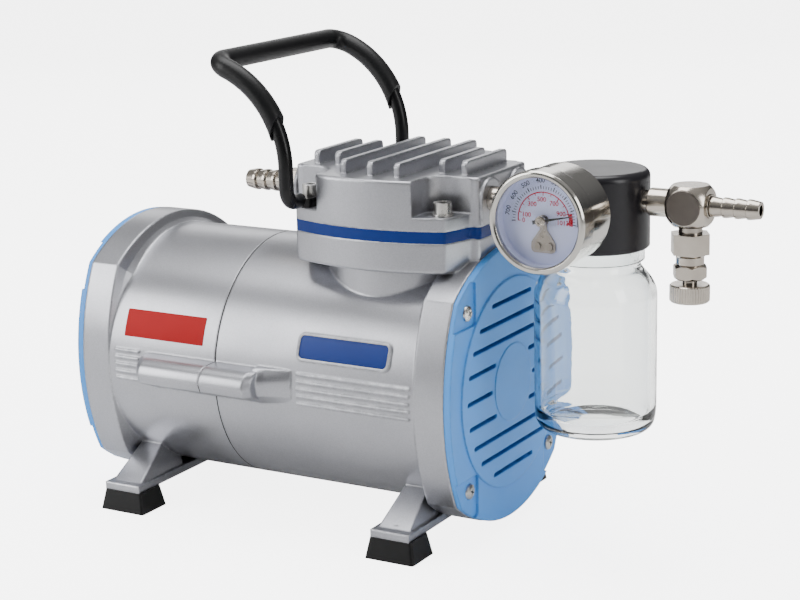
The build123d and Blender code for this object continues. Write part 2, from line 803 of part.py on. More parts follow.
# Trap: nipple from the head, cap, seal, collar and glass jar
cap_bore = jar_neck_r + thread_gap
cap_ceiling = jar_top + seal_t
nipple_in = 8.0
nipple_bore = 3.0
with BuildPart() as trap_nipple:
    x0 = head_x + nose_reach + boss_rise
    x1 = trap_x - cap_r
    turned(along_x(x0, -port_y, port_z),
           [(-9.0, nipple_bore), (-9.0, port_r), (0, port_r), (0, 5.9), (x1 - x0 - 0.1, 5.9),
            (x1 - x0 - 0.1, port_r), (x1 - x0 + nipple_in, port_r), (x1 - x0 + nipple_in, nipple_bore)])

with BuildPart() as trap_cap:
    turned(along_z(trap_x, -port_y, cap_low),
           [(0, 0), (0, cap_r - 0.6), (0.6, cap_r), (cap_top - cap_low, cap_r), (cap_top - cap_low, 0)])
    fillet(trap_cap.edges().filter_by(GeomType.CIRCLE).sort_by(Axis.Z)[-1], radius=cap_edge_r)
    disc(level(cap_low - 1.0, trap_x, -port_y), cap_bore, cap_ceiling - cap_low + 1.0, mode=Mode.SUBTRACT)
    disc(level(cap_ceiling - 1.0, trap_x, -port_y), 6.0, tee_z + 7.5 - cap_ceiling, mode=Mode.SUBTRACT)
    disc(cross(trap_x - cap_r - 2.0, -port_y, port_z), port_r, cap_r, mode=Mode.SUBTRACT)
    disc(cross(trap_x, -port_y, tee_z), port_r, cap_r + 2.0, mode=Mode.SUBTRACT)
    disc(near(-port_y, trap_x, gauge_z), port_r, cap_r + 2.0, mode=Mode.SUBTRACT)

with BuildPart() as jar_seal:
    disc(level(jar_top, trap_x, -port_y), jar_neck_r, seal_t, hole=jar_neck_r - 3.4)

with BuildPart() as jar_collar:
    disc(level(collar_top - collar_h, trap_x, -port_y), collar_r, collar_h, hole=jar_neck_r + run_gap)

with BuildPart() as glass_jar:
    z = jar_low
    r = jar_r
    t = jar_wall
    n = jar_neck_r
    with BuildSketch(along_z(trap_x, -port_y, 0)) as jar_section:
        with BuildLine():
            Polyline(
                (z + 2.4, 0), (z + 2.0, r - 8.0), (z, r - 4.5), (z + 3.0, r - 1.0), (z + 9.0, r),
                (z + 66.0, r), (z + 71.0, r - 2.2), (z + 76.0, n + 1.4), (z + 79.0, n - 0.2), (z + 82.0, n),
                (jar_top, n), (jar_top, n - t - 0.4), (z + 79.5, n - t - 0.4), (z + 76.0, n - t + 0.4),
                (z + 70.0, r - t - 2.0), (z + 64.5, r - t), (z + 9.5, r - t), (z + 5.4, r - t - 3.0),
                (z + 5.0, 0), close=True)
        make_face()
        fillet(jar_section.vertices().filter_by(lambda v: v.Y > 1.0), radius=0.9)
    revolve(axis=Axis((trap_x, -port_y, 0), (0, 0, 1)))

# Vacuum gauge, its axis toward the viewer
gauge = toward_viewer(trap_x, 0, gauge_z)
case_out = gauge_r - 0.8
case_in = case_out - 1.2
case_front = gauge_front - bezel_w
lens_back = gauge_front - 3.2
lens_front = lens_back + 2.0
dial_back = case_front + 1.4
dial_front = dial_back + 0.8
arbor_r = 1.0

with BuildPart() as gauge_stem:
    cap_side = port_y + cap_r
    turned(gauge, [(cap_side - nipple_in, 1.5), (cap_side - nipple_in, port_r), (cap_side + 0.1, port_r),
                   (cap_side + 0.1, 5.8), (gauge_back, 5.8), (gauge_back, port_r), (gauge_back + 2.5, port_r),
                   (gauge_back + 2.5, 1.5)])
    hexagon(near(-cap_side - 0.9, trap_x, gauge_z), 14.0, gauge_back - cap_side - 1.2)
    disc(near(-port_y, trap_x, gauge_z), 1.5, gauge_back, mode=Mode.SUBTRACT)

with BuildPart() as gauge_case:
    b = gauge_back
    turned(gauge, [(b, port_r), (b, case_out - 2.5), (b + 0.8, case_out - 0.8), (b + 2.5, case_out),
                   (case_front, case_out), (case_front, case_in), (b + 1.5, case_in), (b + 1.5, port_r)])

with BuildPart() as gauge_bezel:
    f = gauge_front
    turned(gauge, [(case_front, case_in), (case_front, gauge_r), (f - 1.2, gauge_r), (f - 0.3, gauge_r - 0.7),
                   (f, gauge_r - 1.4), (f, gauge_r - 2.3), (f - 0.7, gauge_r - 3.1), (lens_front, gauge_r - 3.2),
                   (lens_front, case_in)])

with BuildPart() as gauge_lens:
    disc(near(-lens_back, trap_x, gauge_z), case_in, lens_front - lens_back)

with BuildPart() as lens_seal:
    disc(near(-dial_front, trap_x, gauge_z), case_in, lens_back - dial_front, hole=case_in - 1.1)

with BuildPart() as gauge_dial:
    disc(near(-dial_back, trap_x, gauge_z), case_in, dial_front - dial_back, hole=arbor_r + run_gap)

with BuildPart() as dial_bracket:
    with BuildSketch(near(-dial_front, trap_x, gauge_z)):
        Circle(2.4)
        with BuildLine():
            Polyline((-1.5, 0), (-1.7, -4.2), (-5.2, -9.0), (-5.2, -12.0), (5.2, -12.0), (5.2, -9.0),
                     (1.7, -4.2), (1.5, 0), close=True)
        make_face()
        with Locations((0, -11.5)):
            RectangleRounded(11.6, 5.6, 2.0)
        Circle(arbor_r + run_gap, mode=Mode.SUBTRACT)
    extrude(amount=0.6)
    for side in (-1, 1):
        disc(near(-dial_front, trap_x + side * 2.9, gauge_z - 11.5), 1.8, 1.4)

pointer_deg = 12.0
pointer_l = 15.5
blade = Plane(origin=(trap_x, -dial_front - 2.4, gauge_z), z_dir=(0, -1, 0),
              x_dir=(cos(radians(pointer_deg)), 0, sin(radians(pointer_deg))))
with BuildPart() as pointer:
    disc(near(-dial_front - 2.1, trap_x, gauge_z), 1.9, 1.5)
    disc(near(-dial_back + 5.0, trap_x, gauge_z), arbor_r, dial_front - dial_back + 7.5)
    with BuildSketch(blade):
        with BuildLine():
            Polyline((-4.2, -0.9), (-4.2, 0.9), (0, 0.7), (pointer_l, 0.15), (pointer_l, -0.15), (0, -0.7),
                     close=True)
        make_face()
    extrude(amount=0.5)

# Gauge movement: socket block with the plate that carries the pointer arbor, and the curved pressure tube
with BuildPart() as gauge_movement:
    block(trap_x - 4.0, trap_x + 4.0, -gauge_back - 13.0, -gauge_back - 2.5, gauge_z - 16.0, gauge_z + 5.0)
    block(trap_x - 6.0, trap_x + 6.0, -dial_back + 1.4, -dial_back + 3.0, gauge_z - 15.0, gauge_z + 7.0)
    block(trap_x - 3.0, trap_x + 3.0, -dial_back + 3.0, -gauge_back - 13.0, gauge_z - 14.0, gauge_z - 9.0)
    disc(near(-dial_back + 5.0, trap_x, gauge_z), arbor_r + run_gap, 6.0, mode=Mode.SUBTRACT)

with BuildPart() as pressure_tube:
    with BuildLine() as tube_path:
        CenterArc((0, 0, 0), 13.0, -69.0, 260.0)
    with BuildSketch(Plane(origin=tube_path.line @ 0, z_dir=tube_path.line % 0)):
        Ellipse(1.3, 3.4)
    sweep()
pressure_tube.part = near(-gauge_back - 8.0, trap_x, gauge_z) * pressure_tube.part

# Tee with its nipple, hose tail and front plug
tee_x0 = tee_x - tee_half
nipple_root = trap_x + cap_r
with BuildPart() as tee_nipple:
    turned(along_x(nipple_root, -port_y, tee_z),
           [(-nipple_in, 2.8), (-nipple_in, port_r), (tee_x0 - nipple_root - 10.0, port_r),
            (tee_x0 - nipple_root - 9.4, 6.4), (tee_x0 - nipple_root, 6.4), (tee_x0 - nipple_root, 4.2),
            (tee_x0 - nipple_root + 5.0, 4.2), (tee_x0 - nipple_root + 5.0, 2.8)])

with BuildPart() as tee_body:
    with Locations((tee_x, -port_y, tee_z)):
        Box(2 * tee_half, 2 * tee_half, 2 * tee_half)
        Sphere(tee_round_r, mode=Mode.INTERSECT)
    disc(cross(tee_x - tee_half - 1.0, -port_y, tee_z), 3.0, 2 * tee_half + 2.0, mode=Mode.SUBTRACT)
    for x0 in (tee_x - tee_half - 1.0, tee_x + tee_half - 5.0):
        disc(cross(x0, -port_y, tee_z), 4.2, 6.0, mode=Mode.SUBTRACT)
    disc(level(tee_z - tee_half - 1.0, tee_x, -port_y), 2.5, tee_half + 1.0, mode=Mode.SUBTRACT)
    disc(level(tee_z - tee_half - 1.0, tee_x, -port_y), 4.2, 6.0, mode=Mode.SUBTRACT)
    disc(near(-port_y - tee_half + 5.0, tee_x, tee_z), 4.2, 6.0, mode=Mode.SUBTRACT)

with BuildPart() as tee_plug:
    turned(toward_viewer(tee_x, -port_y, tee_z),
           [(tee_half - 5.0, 0), (tee_half - 5.0, 4.2), (tee_half, 4.2), (tee_half, 7.8), (tee_half + 0.3, 7.8),
            (tee_half + 0.5, 7.6), (tee_half + 0.5, 0)])

inlet_crest = 4.6
inlet_start = tee_x + tee_half
inlet_neck = tail_tip + seam_x - inlet_start - 4 * tail_pitch
with BuildPart() as inlet_hose_tail:
    turned(along_x(inlet_start, -port_y, tee_z),
           [(-5.0, 2.4), (-5.0, 4.2), (0, 4.2), (0, 5.4), (inlet_neck - 0.4, 5.4), (inlet_neck - 0.4, 3.6)]
           + barbs(inlet_neck, 4, tail_pitch, 3.6, inlet_crest) + [(inlet_neck + 4 * tail_pitch, 2.4)])

# Bleed regulator below the tee
valve_top = tee_z - tee_half
hex_top = valve_top - 3.4
hex_low = tee_z - hex_drop
neck_low = tee_z - neck_drop
nut_low = tee_z - nut_drop
with BuildPart() as regulator_body:
    turned(along_z(tee_x, -port_y, 0),
           [(neck_low, 0), (neck_low, 6.3), (hex_low - 1.4, 6.3), (hex_low, 7.6), (hex_low + 1.0, 7.6),
            (hex_top, 5.3), (valve_top, 5.3), (valve_top, 4.2), (valve_top + 5.0, 4.2), (valve_top + 5.0, 0)])
    hexagon(level(hex_low, tee_x, -port_y), 16.0, hex_top - hex_low)
    disc(level(neck_low - 1.0, tee_x, -port_y), stem_r + run_gap, hex_top - neck_low - 1.0, mode=Mode.SUBTRACT)
    disc(level(neck_low - 1.0, tee_x, -port_y), 1.6, valve_top + 7.0 - neck_low, mode=Mode.SUBTRACT)

with BuildPart() as lock_nut:
    hexagon(level(nut_low, tee_x, -port_y), 14.0, neck_low - nut_low)
    turned(along_z(tee_x, -port_y, nut_low),
           [(-1.0, 6.4), (0, 6.4), (1.4, 8.2), (neck_low - nut_low - 1.4, 8.2), (neck_low - nut_low, 6.4),
            (neck_low - nut_low + 1.0, 6.4), (neck_low - nut_low + 1.0, 12.0), (-1.0, 12.0)], Mode.SUBTRACT)
    disc(level(nut_low - 1.0, tee_x, -port_y), stem_r + run_gap, 10.0, mode=Mode.SUBTRACT)

with BuildPart() as regulator_stem:
    turned(along_z(tee_x, -port_y, 0),
           [(knob_low + 2.5, 0), (knob_low + 2.5, stem_r), (hex_low + 2.1, stem_r), (hex_low + 4.6, 0.8),
            (hex_low + 4.6, 0)])

with BuildPart() as regulator_knob:
    turned(along_z(tee_x, -port_y, 0),
           [(knob_low, 0), (knob_low, knob_r - 0.7), (knob_low + 0.7, knob_r), (knob_top - 0.7, knob_r),
            (knob_top, knob_r - 0.7), (knob_top, 0)])
    with BuildSketch(level(knob_low - 1.0, tee_x, -port_y)):
        with PolarLocations(knob_r + 0.2, flute_count):
            Circle(flute_r)
    extrude(amount=knob_top - knob_low + 2.0, mode=Mode.SUBTRACT)
    disc(level(knob_low + 2.2, tee_x, -port_y), stem_r + run_gap, 12.0, mode=Mode.SUBTRACT)

# Crank train, turning on the shaft axis
with BuildPart() as shaft:
    disc(cross(rear_wall_x + 1.4), shaft_r, seam_x + fan_x + fan_w + 2.0 - rear_wall_x - 1.4)

with BuildPart() as main_bearings:
    for x in (rear_wall_x + 1.0, front_wall_x + wall_t - bearing_w):
        disc(cross(x), bearing_r, bearing_w, hole=shaft_r + run_gap)

rod_x0 = head_x - rod_w / 2
with BuildPart() as eccentric:
    disc(cross(rod_x0 - 0.4, 0, pin_z), journal_r, rod_w + 0.8)
    disc(cross(rod_x0 - 14.4), journal_r + 2.0, 14.0)
    with BuildSketch(cross(rod_x0 - 14.4)):
        Circle(weight_r)
        with Locations((0, weight_r / 2 + 4.0)):
            Rectangle(2 * weight_r + 2, weight_r + 8.0, mode=Mode.SUBTRACT)
    extrude(amount=12.0)
    block(rod_x0 - 14.4, rod_x0 - 2.4, -9.0, 9.0, axis_h - 12.0, axis_h)
    disc(cross(rod_x0 - 20.0), shaft_r, rod_w + 30.0, mode=Mode.SUBTRACT)

with BuildPart() as fan:
    disc(cross(seam_x + fan_x), 14.0, fan_w)
    for i in range(blade_count):
        with Locations(Location((seam_x + fan_x + fan_w / 2, 0, axis_h), (i * 360.0 / blade_count, 0, 0))):
            with Locations(Location((0, 0, (fan_r + 12.0) / 2), (0, 0, 38.0))):
                Box(1.6, 19.0, fan_r - 12.0)
    disc(cross(seam_x + fan_x - 10.0), shaft_r, fan_w + 20.0, mode=Mode.SUBTRACT)

stack_x = seam_x - stack_rear
stack_l = stack_rear - stack_front
rotor_r = stator_in_r - air_gap
ring_t = 3.0
ring_w = 10.6
with BuildPart() as rotor:
    disc(cross(stack_x), rotor_r, stack_l, hole=shaft_r)
    for x in (stack_x - ring_t, stack_x + stack_l):
        disc(cross(x), rotor_r - 0.6, ring_t, hole=rotor_r - ring_w)

with BuildPart() as stator:
    with BuildSketch(cross(stack_x)):
        Circle(inner_r)
        Circle(stator_in_r, mode=Mode.SUBTRACT)
        with PolarLocations((slot_in_r + slot_out_r) / 2, slot_count):
            Rectangle(slot_out_r - slot_in_r, coil_w, mode=Mode.SUBTRACT)
        with PolarLocations(slot_in_r, slot_count):
            Rectangle(3 * tooth_tip, 2.4, mode=Mode.SUBTRACT)
        with PolarLocations(tie_r, 4, start_angle=45):
            Circle(2.2, mode=Mode.SUBTRACT)
    extrude(amount=stack_l)

with BuildPart() as windings:
    with BuildSketch(cross(stack_x - 1.0)):
        with PolarLocations((slot_in_r + slot_out_r) / 2 + 1.5, slot_count):
            Rectangle(slot_out_r - slot_in_r - 3.0, coil_w)
    extrude(amount=stack_l + 2.0)
    for x in (stack_x - end_turn, stack_x + stack_l):
        disc(cross(x), slot_out_r - 1.0, end_turn, hole=slot_in_r + 2.5)

with BuildPart() as tie_bolts:
    for angle in (45, 135, 225, 315):
        y = tie_r * cos(radians(angle))
        z = axis_h + tie_r * sin(radians(angle))
        disc(cross(rear_wall_x - 3.0, y, z), 3.5, 3.0)
        disc(cross(rear_wall_x, y, z), 2.0, front_wall_x + wall_t - rear_wall_x)

# Connecting rod with its rocking piston, on the eccentric
rod_ring_r = rod_bearing_r + rod_ring
piston_r = bore_r - piston_gap
clamp_t = 3.0
cup_t = 1.5
crown_t = 4.5
with BuildPart() as rod_bearing:
    disc(cross(rod_x0, 0, pin_z), rod_bearing_r, rod_w, hole=journal_r + run_gap)

with BuildPart() as connecting_rod:
    disc(cross(rod_x0, 0, pin_z), rod_ring_r, rod_w)
    low = pin_z + rod_bearing_r
    high = crown_z - clamp_t - cup_t
    with BuildSketch(level(low, head_x)):
        Rectangle(rod_w, 22.0)
    with BuildSketch(level(high - crown_t, head_x)):
        Rectangle(rod_w, 16.0)
    loft(ruled=True)
    disc(level(high - crown_t, head_x), piston_r - 0.8, crown_t)
    disc(cross(rod_x0 - 1.0, 0, pin_z), rod_bearing_r, rod_w + 2.0, mode=Mode.SUBTRACT)
    for way in (0, 1):
        x0 = rod_x0 - 1.0 if way == 0 else rod_x0 + rod_w - 4.0
        block(x0, x0 + 5.0, -4.0, 4.0, low + 10.0, high - crown_t - 4.0, Mode.SUBTRACT)
    disc(level(high - 8.0, head_x), 1.6, 12.0, mode=Mode.SUBTRACT)

with BuildPart() as piston_cup:
    turned(along_z(head_x, 0, crown_z - clamp_t - cup_t),
           [(0, 1.6), (0, piston_r - 0.3), (0.8, piston_r), (clamp_t + cup_t - 0.4, piston_r),
            (clamp_t + cup_t - 0.4, piston_r - 0.9), (cup_t, piston_r - 1.2), (cup_t, 1.6)])

# Clamp disc and its screw hold the cup on the crown
with BuildPart() as piston_clamp:
    disc(level(crown_z - clamp_t, head_x), piston_r - 3.0, clamp_t)
    disc(level(crown_z - clamp_t - cup_t - 8.0, head_x), 1.6, 9.2 + cup_t)
    disc(level(crown_z - 1.8, head_x), 4.4, 3.0, mode=Mode.SUBTRACT)
    disc(level(crown_z - 1.8, head_x), 3.6, 1.6)
    hexagon(level(crown_z - 1.2, head_x), 3.0, 2.0, Mode.SUBTRACT)

# Capacitor, mains inlet and rocker switch at the rear
bay_x = rear_wall_x
with BuildPart() as run_capacitor:
    with BuildSketch(cross(bay_x - 13.5, 0.6 * mouth_r)):
        RectangleRounded(19.0, 32.0, 2.0)
    extrude(amount=13.5)

inlet_z = axis_h + inlet_dz
face_x = rear_end - cover_t
cavity_w = 23.6
cavity_h = 16.0
pin_spots = ((-7.0, -2.0), (7.0, -2.0), (0, 2.0))
with BuildPart() as mains_inlet:
    with BuildSketch(cross(face_x - bezel_t, 0, inlet_z)):
        RectangleRounded(inlet_w + 3.6, inlet_hgt + 4.0, 2.0)
    extrude(amount=bezel_t)
    block(face_x - 0.5, face_x + inlet_depth, -inlet_w / 2, inlet_w / 2,
          inlet_z - inlet_hgt / 2, inlet_z + inlet_hgt / 2)
    with BuildSketch(cross(face_x - bezel_t - 1.0, 0, inlet_z)) as mouth:
        Rectangle(cavity_w, cavity_h)
        chamfer(mouth.vertices().sort_by(Axis.Z)[-2:], length=4.2)
    extrude(amount=bezel_t + inlet_depth - 0.8, mode=Mode.SUBTRACT)
    for y, dz in pin_spots:
        block(face_x + 3.0, face_x + inlet_depth + 1.0, y - 1.0, y + 1.0, inlet_z + dz - 2.0, inlet_z + dz + 2.0,
              Mode.SUBTRACT)

with BuildPart() as inlet_pins:
    for y, dz in pin_spots:
        block(face_x + 3.0, face_x + inlet_depth + 4.0, y - 1.0, y + 1.0, inlet_z + dz - 2.0, inlet_z + dz + 2.0)

switch_z = axis_h + switch_dz
well_w = switch_w - 2.4
well_h = switch_hgt - 2.6
rocker_gap = 0.4
rocker_tilt = 8.0
rocker_pivot_x = face_x + 3.0
pivot_r = 1.5
pivot_in = 0.7
with BuildPart() as switch_frame:
    with BuildSketch(cross(face_x - bezel_t, 0, switch_z)):
        RectangleRounded(switch_w + 2.6, switch_hgt + 2.4, 1.2)
    extrude(amount=bezel_t)
    block(face_x - 0.5, face_x + 12.0, -switch_w / 2, switch_w / 2, switch_z - switch_hgt / 2,
          switch_z + switch_hgt / 2)
    block(face_x - bezel_t - 1.0, face_x + 10.6, -well_w / 2, well_w / 2, switch_z - well_h / 2,
          switch_z + well_h / 2, Mode.SUBTRACT)
    disc(near(well_w / 2 + pivot_in + 0.1, rocker_pivot_x, switch_z), pivot_r + run_gap,
         well_w + 2 * pivot_in + 0.2, mode=Mode.SUBTRACT)

# The rocker is drawn level and then tilted to its off position
rocker_half = well_h / 2 - 0.9
with BuildPart() as switch_rocker:
    with BuildSketch(near((well_w / 2 - rocker_gap), 0, 0)):
        with BuildLine():
            Polyline((-bezel_t - 3.6, rocker_half), (-bezel_t - 2.4, 0), (-bezel_t - 3.6, -rocker_half),
                     (1.0, -rocker_half + 1.0), (4.0, 0), (1.0, rocker_half - 1.0), close=True)
        make_face()
    extrude(amount=well_w - 2 * rocker_gap)
    disc(near(well_w / 2 + pivot_in, 0, 0), pivot_r, well_w + 2 * pivot_in)
switch_rocker.part = Location((rocker_pivot_x, 0, switch_z), (0, rocker_tilt, 0)) * switch_rocker.part

rear_housing.part.label = "rear_housing"
export_step(rear_housing.part, "parts/rear_housing.step")
front_housing.part.label = "front_housing"
export_step(front_housing.part, "parts/front_housing.step")
front_cover.part.label = "front_cover"
export_step(front_cover.part, "parts/front_cover.step")
rear_cover.part.label = "rear_cover"
export_step(rear_cover.part, "parts/rear_cover.step")
cover_screw_set.part.label = "cover_screws"
export_step(cover_screw_set.part, "parts/cover_screws.step")
feet.part.label = "feet"
export_step(feet.part, "parts/feet.step")
foot_screws.part.label = "foot_screws"
export_step(foot_screws.part, "parts/foot_screws.step")
cylinder_sleeve.part.label = "cylinder_sleeve"
export_step(cylinder_sleeve.part, "parts/cylinder_sleeve.step")
valve_plate.part.label = "valve_plate"
export_step(valve_plate.part, "parts/valve_plate.step")
intake_reed.part.label = "intake_reed"
export_step(intake_reed.part, "parts/intake_reed.step")
exhaust_reed.part.label = "exhaust_reed"
export_step(exhaust_reed.part, "parts/exhaust_reed.step")
reed_rivets.part.label = "reed_rivets"
export_step(reed_rivets.part, "parts/reed_rivets.step")
head_gasket.part.label = "head_gasket"
export_step(head_gasket.part, "parts/head_gasket.step")
cylinder_head.part.label = "cylinder_head"
export_step(cylinder_head.part, "parts/cylinder_head.step")
head_screws.part.label = "head_screws"
export_step(head_screws.part, "parts/head_screws.step")
head_washers.part.label = "head_washers"
export_step(head_washers.part, "parts/head_washers.step")
port_plugs.part.label = "port_plugs"
export_step(port_plugs.part, "parts/port_plugs.step")
exhaust_hose_tail.part.label = "exhaust_hose_tail"
export_step(exhaust_hose_tail.part, "parts/exhaust_hose_tail.step")
handle_rod.part.label = "handle_rod"
export_step(handle_rod.part, "parts/handle_rod.step")
handle_grip.part.label = "handle_grip"
export_step(handle_grip.part, "parts/handle_grip.step")
trap_nipple.part.label = "trap_nipple"
export_step(trap_nipple.part, "parts/trap_nipple.step")
trap_cap.part.label = "trap_cap"
export_step(trap_cap.part, "parts/trap_cap.step")
jar_seal.part.label = "jar_seal"
export_step(jar_seal.part, "parts/jar_seal.step")
jar_collar.part.label = "jar_collar"
export_step(jar_collar.part, "parts/jar_collar.step")
glass_jar.part.label = "glass_jar"
export_step(glass_jar.part, "parts/glass_jar.step")
gauge_stem.part.label = "gauge_stem"
export_step(gauge_stem.part, "parts/gauge_stem.step")
gauge_case.part.label = "gauge_case"
export_step(gauge_case.part, "parts/gauge_case.step")
gauge_bezel.part.label = "gauge_bezel"
export_step(gauge_bezel.part, "parts/gauge_bezel.step")
gauge_lens.part.label = "gauge_lens"
export_step(gauge_lens.part, "parts/gauge_lens.step")
lens_seal.part.label = "lens_seal"
export_step(lens_seal.part, "parts/lens_seal.step")
gauge_dial.part.label = "gauge_dial"
export_step(gauge_dial.part, "parts/gauge_dial.step")
dial_bracket.part.label = "dial_bracket"
export_step(dial_bracket.part, "parts/dial_bracket.step")
pointer.part.label = "pointer"
export_step(pointer.part, "parts/pointer.step")
gauge_movement.part.label = "gauge_movement"
export_step(gauge_movement.part, "parts/gauge_movement.step")
pressure_tube.part.label = "pressure_tube"
export_step(pressure_tube.part, "parts/pressure_tube.step")
tee_nipple.part.label = "tee_nipple"
export_step(tee_nipple.part, "parts/tee_nipple.step")
tee_body.part.label = "tee_body"
export_step(tee_body.part, "parts/tee_body.step")
tee_plug.part.label = "tee_plug"
export_step(tee_plug.part, "parts/tee_plug.step")
inlet_hose_tail.part.label = "inlet_hose_tail"
export_step(inlet_hose_tail.part, "parts/inlet_hose_tail.step")
regulator_body.part.label = "regulator_body"
export_step(regulator_body.part, "parts/regulator_body.step")
lock_nut.part.label = "lock_nut"
export_step(lock_nut.part, "parts/lock_nut.step")
regulator_stem.part.label = "regulator_stem"
export_step(regulator_stem.part, "parts/regulator_stem.step")
regulator_knob.part.label = "regulator_knob"
export_step(regulator_knob.part, "parts/regulator_knob.step")
shaft.part.label = "shaft"
export_step(shaft.part, "parts/shaft.step")
main_bearings.part.label = "main_bearings"
export_step(main_bearings.part, "parts/main_bearings.step")
eccentric.part.label = "eccentric"
export_step(eccentric.part, "parts/eccentric.step")
fan.part.label = "fan"
export_step(fan.part, "parts/fan.step")
rotor.part.label = "rotor"
export_step(rotor.part, "parts/rotor.step")
stator.part.label = "stator"
export_step(stator.part, "parts/stator.step")
windings.part.label = "windings"
export_step(windings.part, "parts/windings.step")
tie_bolts.part.label = "tie_bolts"
export_step(tie_bolts.part, "parts/tie_bolts.step")
rod_bearing.part.label = "rod_bearing"
export_step(rod_bearing.part, "parts/rod_bearing.step")
connecting_rod.part.label = "connecting_rod"
export_step(connecting_rod.part, "parts/connecting_rod.step")
piston_cup.part.label = "piston_cup"
export_step(piston_cup.part, "parts/piston_cup.step")
piston_clamp.part.label = "piston_clamp"
export_step(piston_clamp.part, "parts/piston_clamp.step")
run_capacitor.part.label = "run_capacitor"
export_step(run_capacitor.part, "parts/run_capacitor.step")
inlet_pins.part.label = "inlet_pins"
export_step(inlet_pins.part, "parts/inlet_pins.step")
mains_inlet.part.label = "mains_inlet"
export_step(mains_inlet.part, "parts/mains_inlet.step")
switch_frame.part.label = "switch_frame"
export_step(switch_frame.part, "parts/switch_frame.step")
switch_rocker.part.label = "switch_rocker"
export_step(switch_rocker.part, "parts/switch_rocker.step")
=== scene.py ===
"""Portable piston vacuum pump with a glass moisture jar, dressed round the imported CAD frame."""
import json
import math

import bmesh
import bpy
from mathutils import Matrix, Vector


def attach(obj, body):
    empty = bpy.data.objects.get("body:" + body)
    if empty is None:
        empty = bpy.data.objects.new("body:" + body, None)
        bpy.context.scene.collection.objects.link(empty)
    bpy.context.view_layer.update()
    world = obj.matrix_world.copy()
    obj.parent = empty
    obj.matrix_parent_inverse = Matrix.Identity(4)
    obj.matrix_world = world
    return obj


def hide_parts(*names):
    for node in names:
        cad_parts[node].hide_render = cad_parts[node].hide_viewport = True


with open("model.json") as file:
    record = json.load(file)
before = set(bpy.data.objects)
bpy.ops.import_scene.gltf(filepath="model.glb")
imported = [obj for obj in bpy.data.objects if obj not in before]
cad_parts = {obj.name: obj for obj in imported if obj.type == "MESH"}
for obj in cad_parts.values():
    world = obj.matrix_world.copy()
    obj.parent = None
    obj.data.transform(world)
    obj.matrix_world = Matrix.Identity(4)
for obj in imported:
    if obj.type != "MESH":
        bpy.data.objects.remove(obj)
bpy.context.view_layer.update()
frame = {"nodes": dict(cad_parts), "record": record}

MM = 0.001
AXIS_Z = 73.3 * MM            # shaft height
CASE_R = 62.0 * MM            # cast housings
SEAM_X = -85.6 * MM           # where the two housings meet
JAR_X = 96.0 * MM
PORT_Y = -14.5 * MM           # plane of the ports, trap and tee


# Camera at the angle of the reference view

def place_camera():
    azimuth, elevation, roll = (math.radians(a) for a in (30.174, 13.757, -1.266))
    back = Vector((math.sin(azimuth) * math.cos(elevation), -math.cos(azimuth) * math.cos(elevation),
                   math.sin(elevation)))
    right = Vector((math.cos(azimuth), math.sin(azimuth), 0))
    up = back.cross(right)
    leaned_right = right * math.cos(roll) + up * math.sin(roll)
    leaned_up = up * math.cos(roll) - right * math.sin(roll)
    camera = bpy.data.objects.new("view_camera", bpy.data.cameras.new("view_camera"))
    bpy.context.scene.collection.objects.link(camera)
    turn = Matrix((leaned_right, leaned_up, back)).transposed().to_4x4()
    camera.matrix_world = Matrix.Translation((0.4690, -0.8344, 0.3436)) @ turn
    camera.data.sensor_width = 36
    camera.data.lens = 90.555
    camera.data.clip_start = 0.05
    camera.data.clip_end = 30
    bpy.context.scene.camera = camera


place_camera()


# Shader nodes

def put(tree, kind, inputs=(), **settings):
    """Adds a node. inputs maps a socket to a value, or to another node's socket that feeds it."""
    made = tree.nodes.new(kind)
    for name, value in settings.items():
        setattr(made, name, value)
    for name, value in dict(inputs).items():
        if isinstance(value, bpy.types.NodeSocket):
            tree.links.new(value, made.inputs[name])
        else:
            made.inputs[name].default_value = value
    return made


def math_node(tree, operation, first, second=0.5):
    return put(tree, "ShaderNodeMath", {0: first, 1: second}, operation=operation).outputs[0]


def new_effect(name, takes, gives):
    """A shared shader group. takes lists (socket, default), gives lists (socket, type)."""
    group = bpy.data.node_groups.new(name, "ShaderNodeTree")
    for label, value in takes:
        group.interface.new_socket(label, in_out="INPUT", socket_type="NodeSocketFloat").default_value = value
    for label, kind in gives:
        group.interface.new_socket(label, in_out="OUTPUT", socket_type="NodeSocket" + kind)
    return group, group.nodes.new("NodeGroupInput").outputs, group.nodes.new("NodeGroupOutput").inputs


def place_points(group):
    return put(group, "ShaderNodeTexCoord").outputs["Object"]


def build_cast_skin():
    """Fine pebbled skin of a painted casting or a moulded part, as a height."""
    group, given, out = new_effect("cast_skin", [("Grains per metre", 900.0)], [("Height", "Float")])
    coarse = put(group, "ShaderNodeTexNoise", {"Vector": place_points(group), "Scale": given[0], "Detail": 4.0,
                                               "Roughness": 0.62})
    group.links.new(coarse.outputs["Fac"], out["Height"])
    return group


def build_metal_flake():
    """Metal flake in paint: each tiny cell has its own shade."""
    group, given, out = new_effect("metal_flake", [("Flakes per metre", 2600.0), ("Contrast", 0.2)],
                                   [("Shade", "Float")])
    cells = put(group, "ShaderNodeTexVoronoi", {"Vector": place_points(group), "Scale": given[0]})
    bright = put(group, "ShaderNodeSeparateColor", {"Color": cells.outputs["Color"]}).outputs[0]
    centred = math_node(group, "SUBTRACT", bright)
    scaled = math_node(group, "MULTIPLY", centred, given[1])
    group.links.new(math_node(group, "ADD", scaled, 1.0), out["Shade"])
    return group


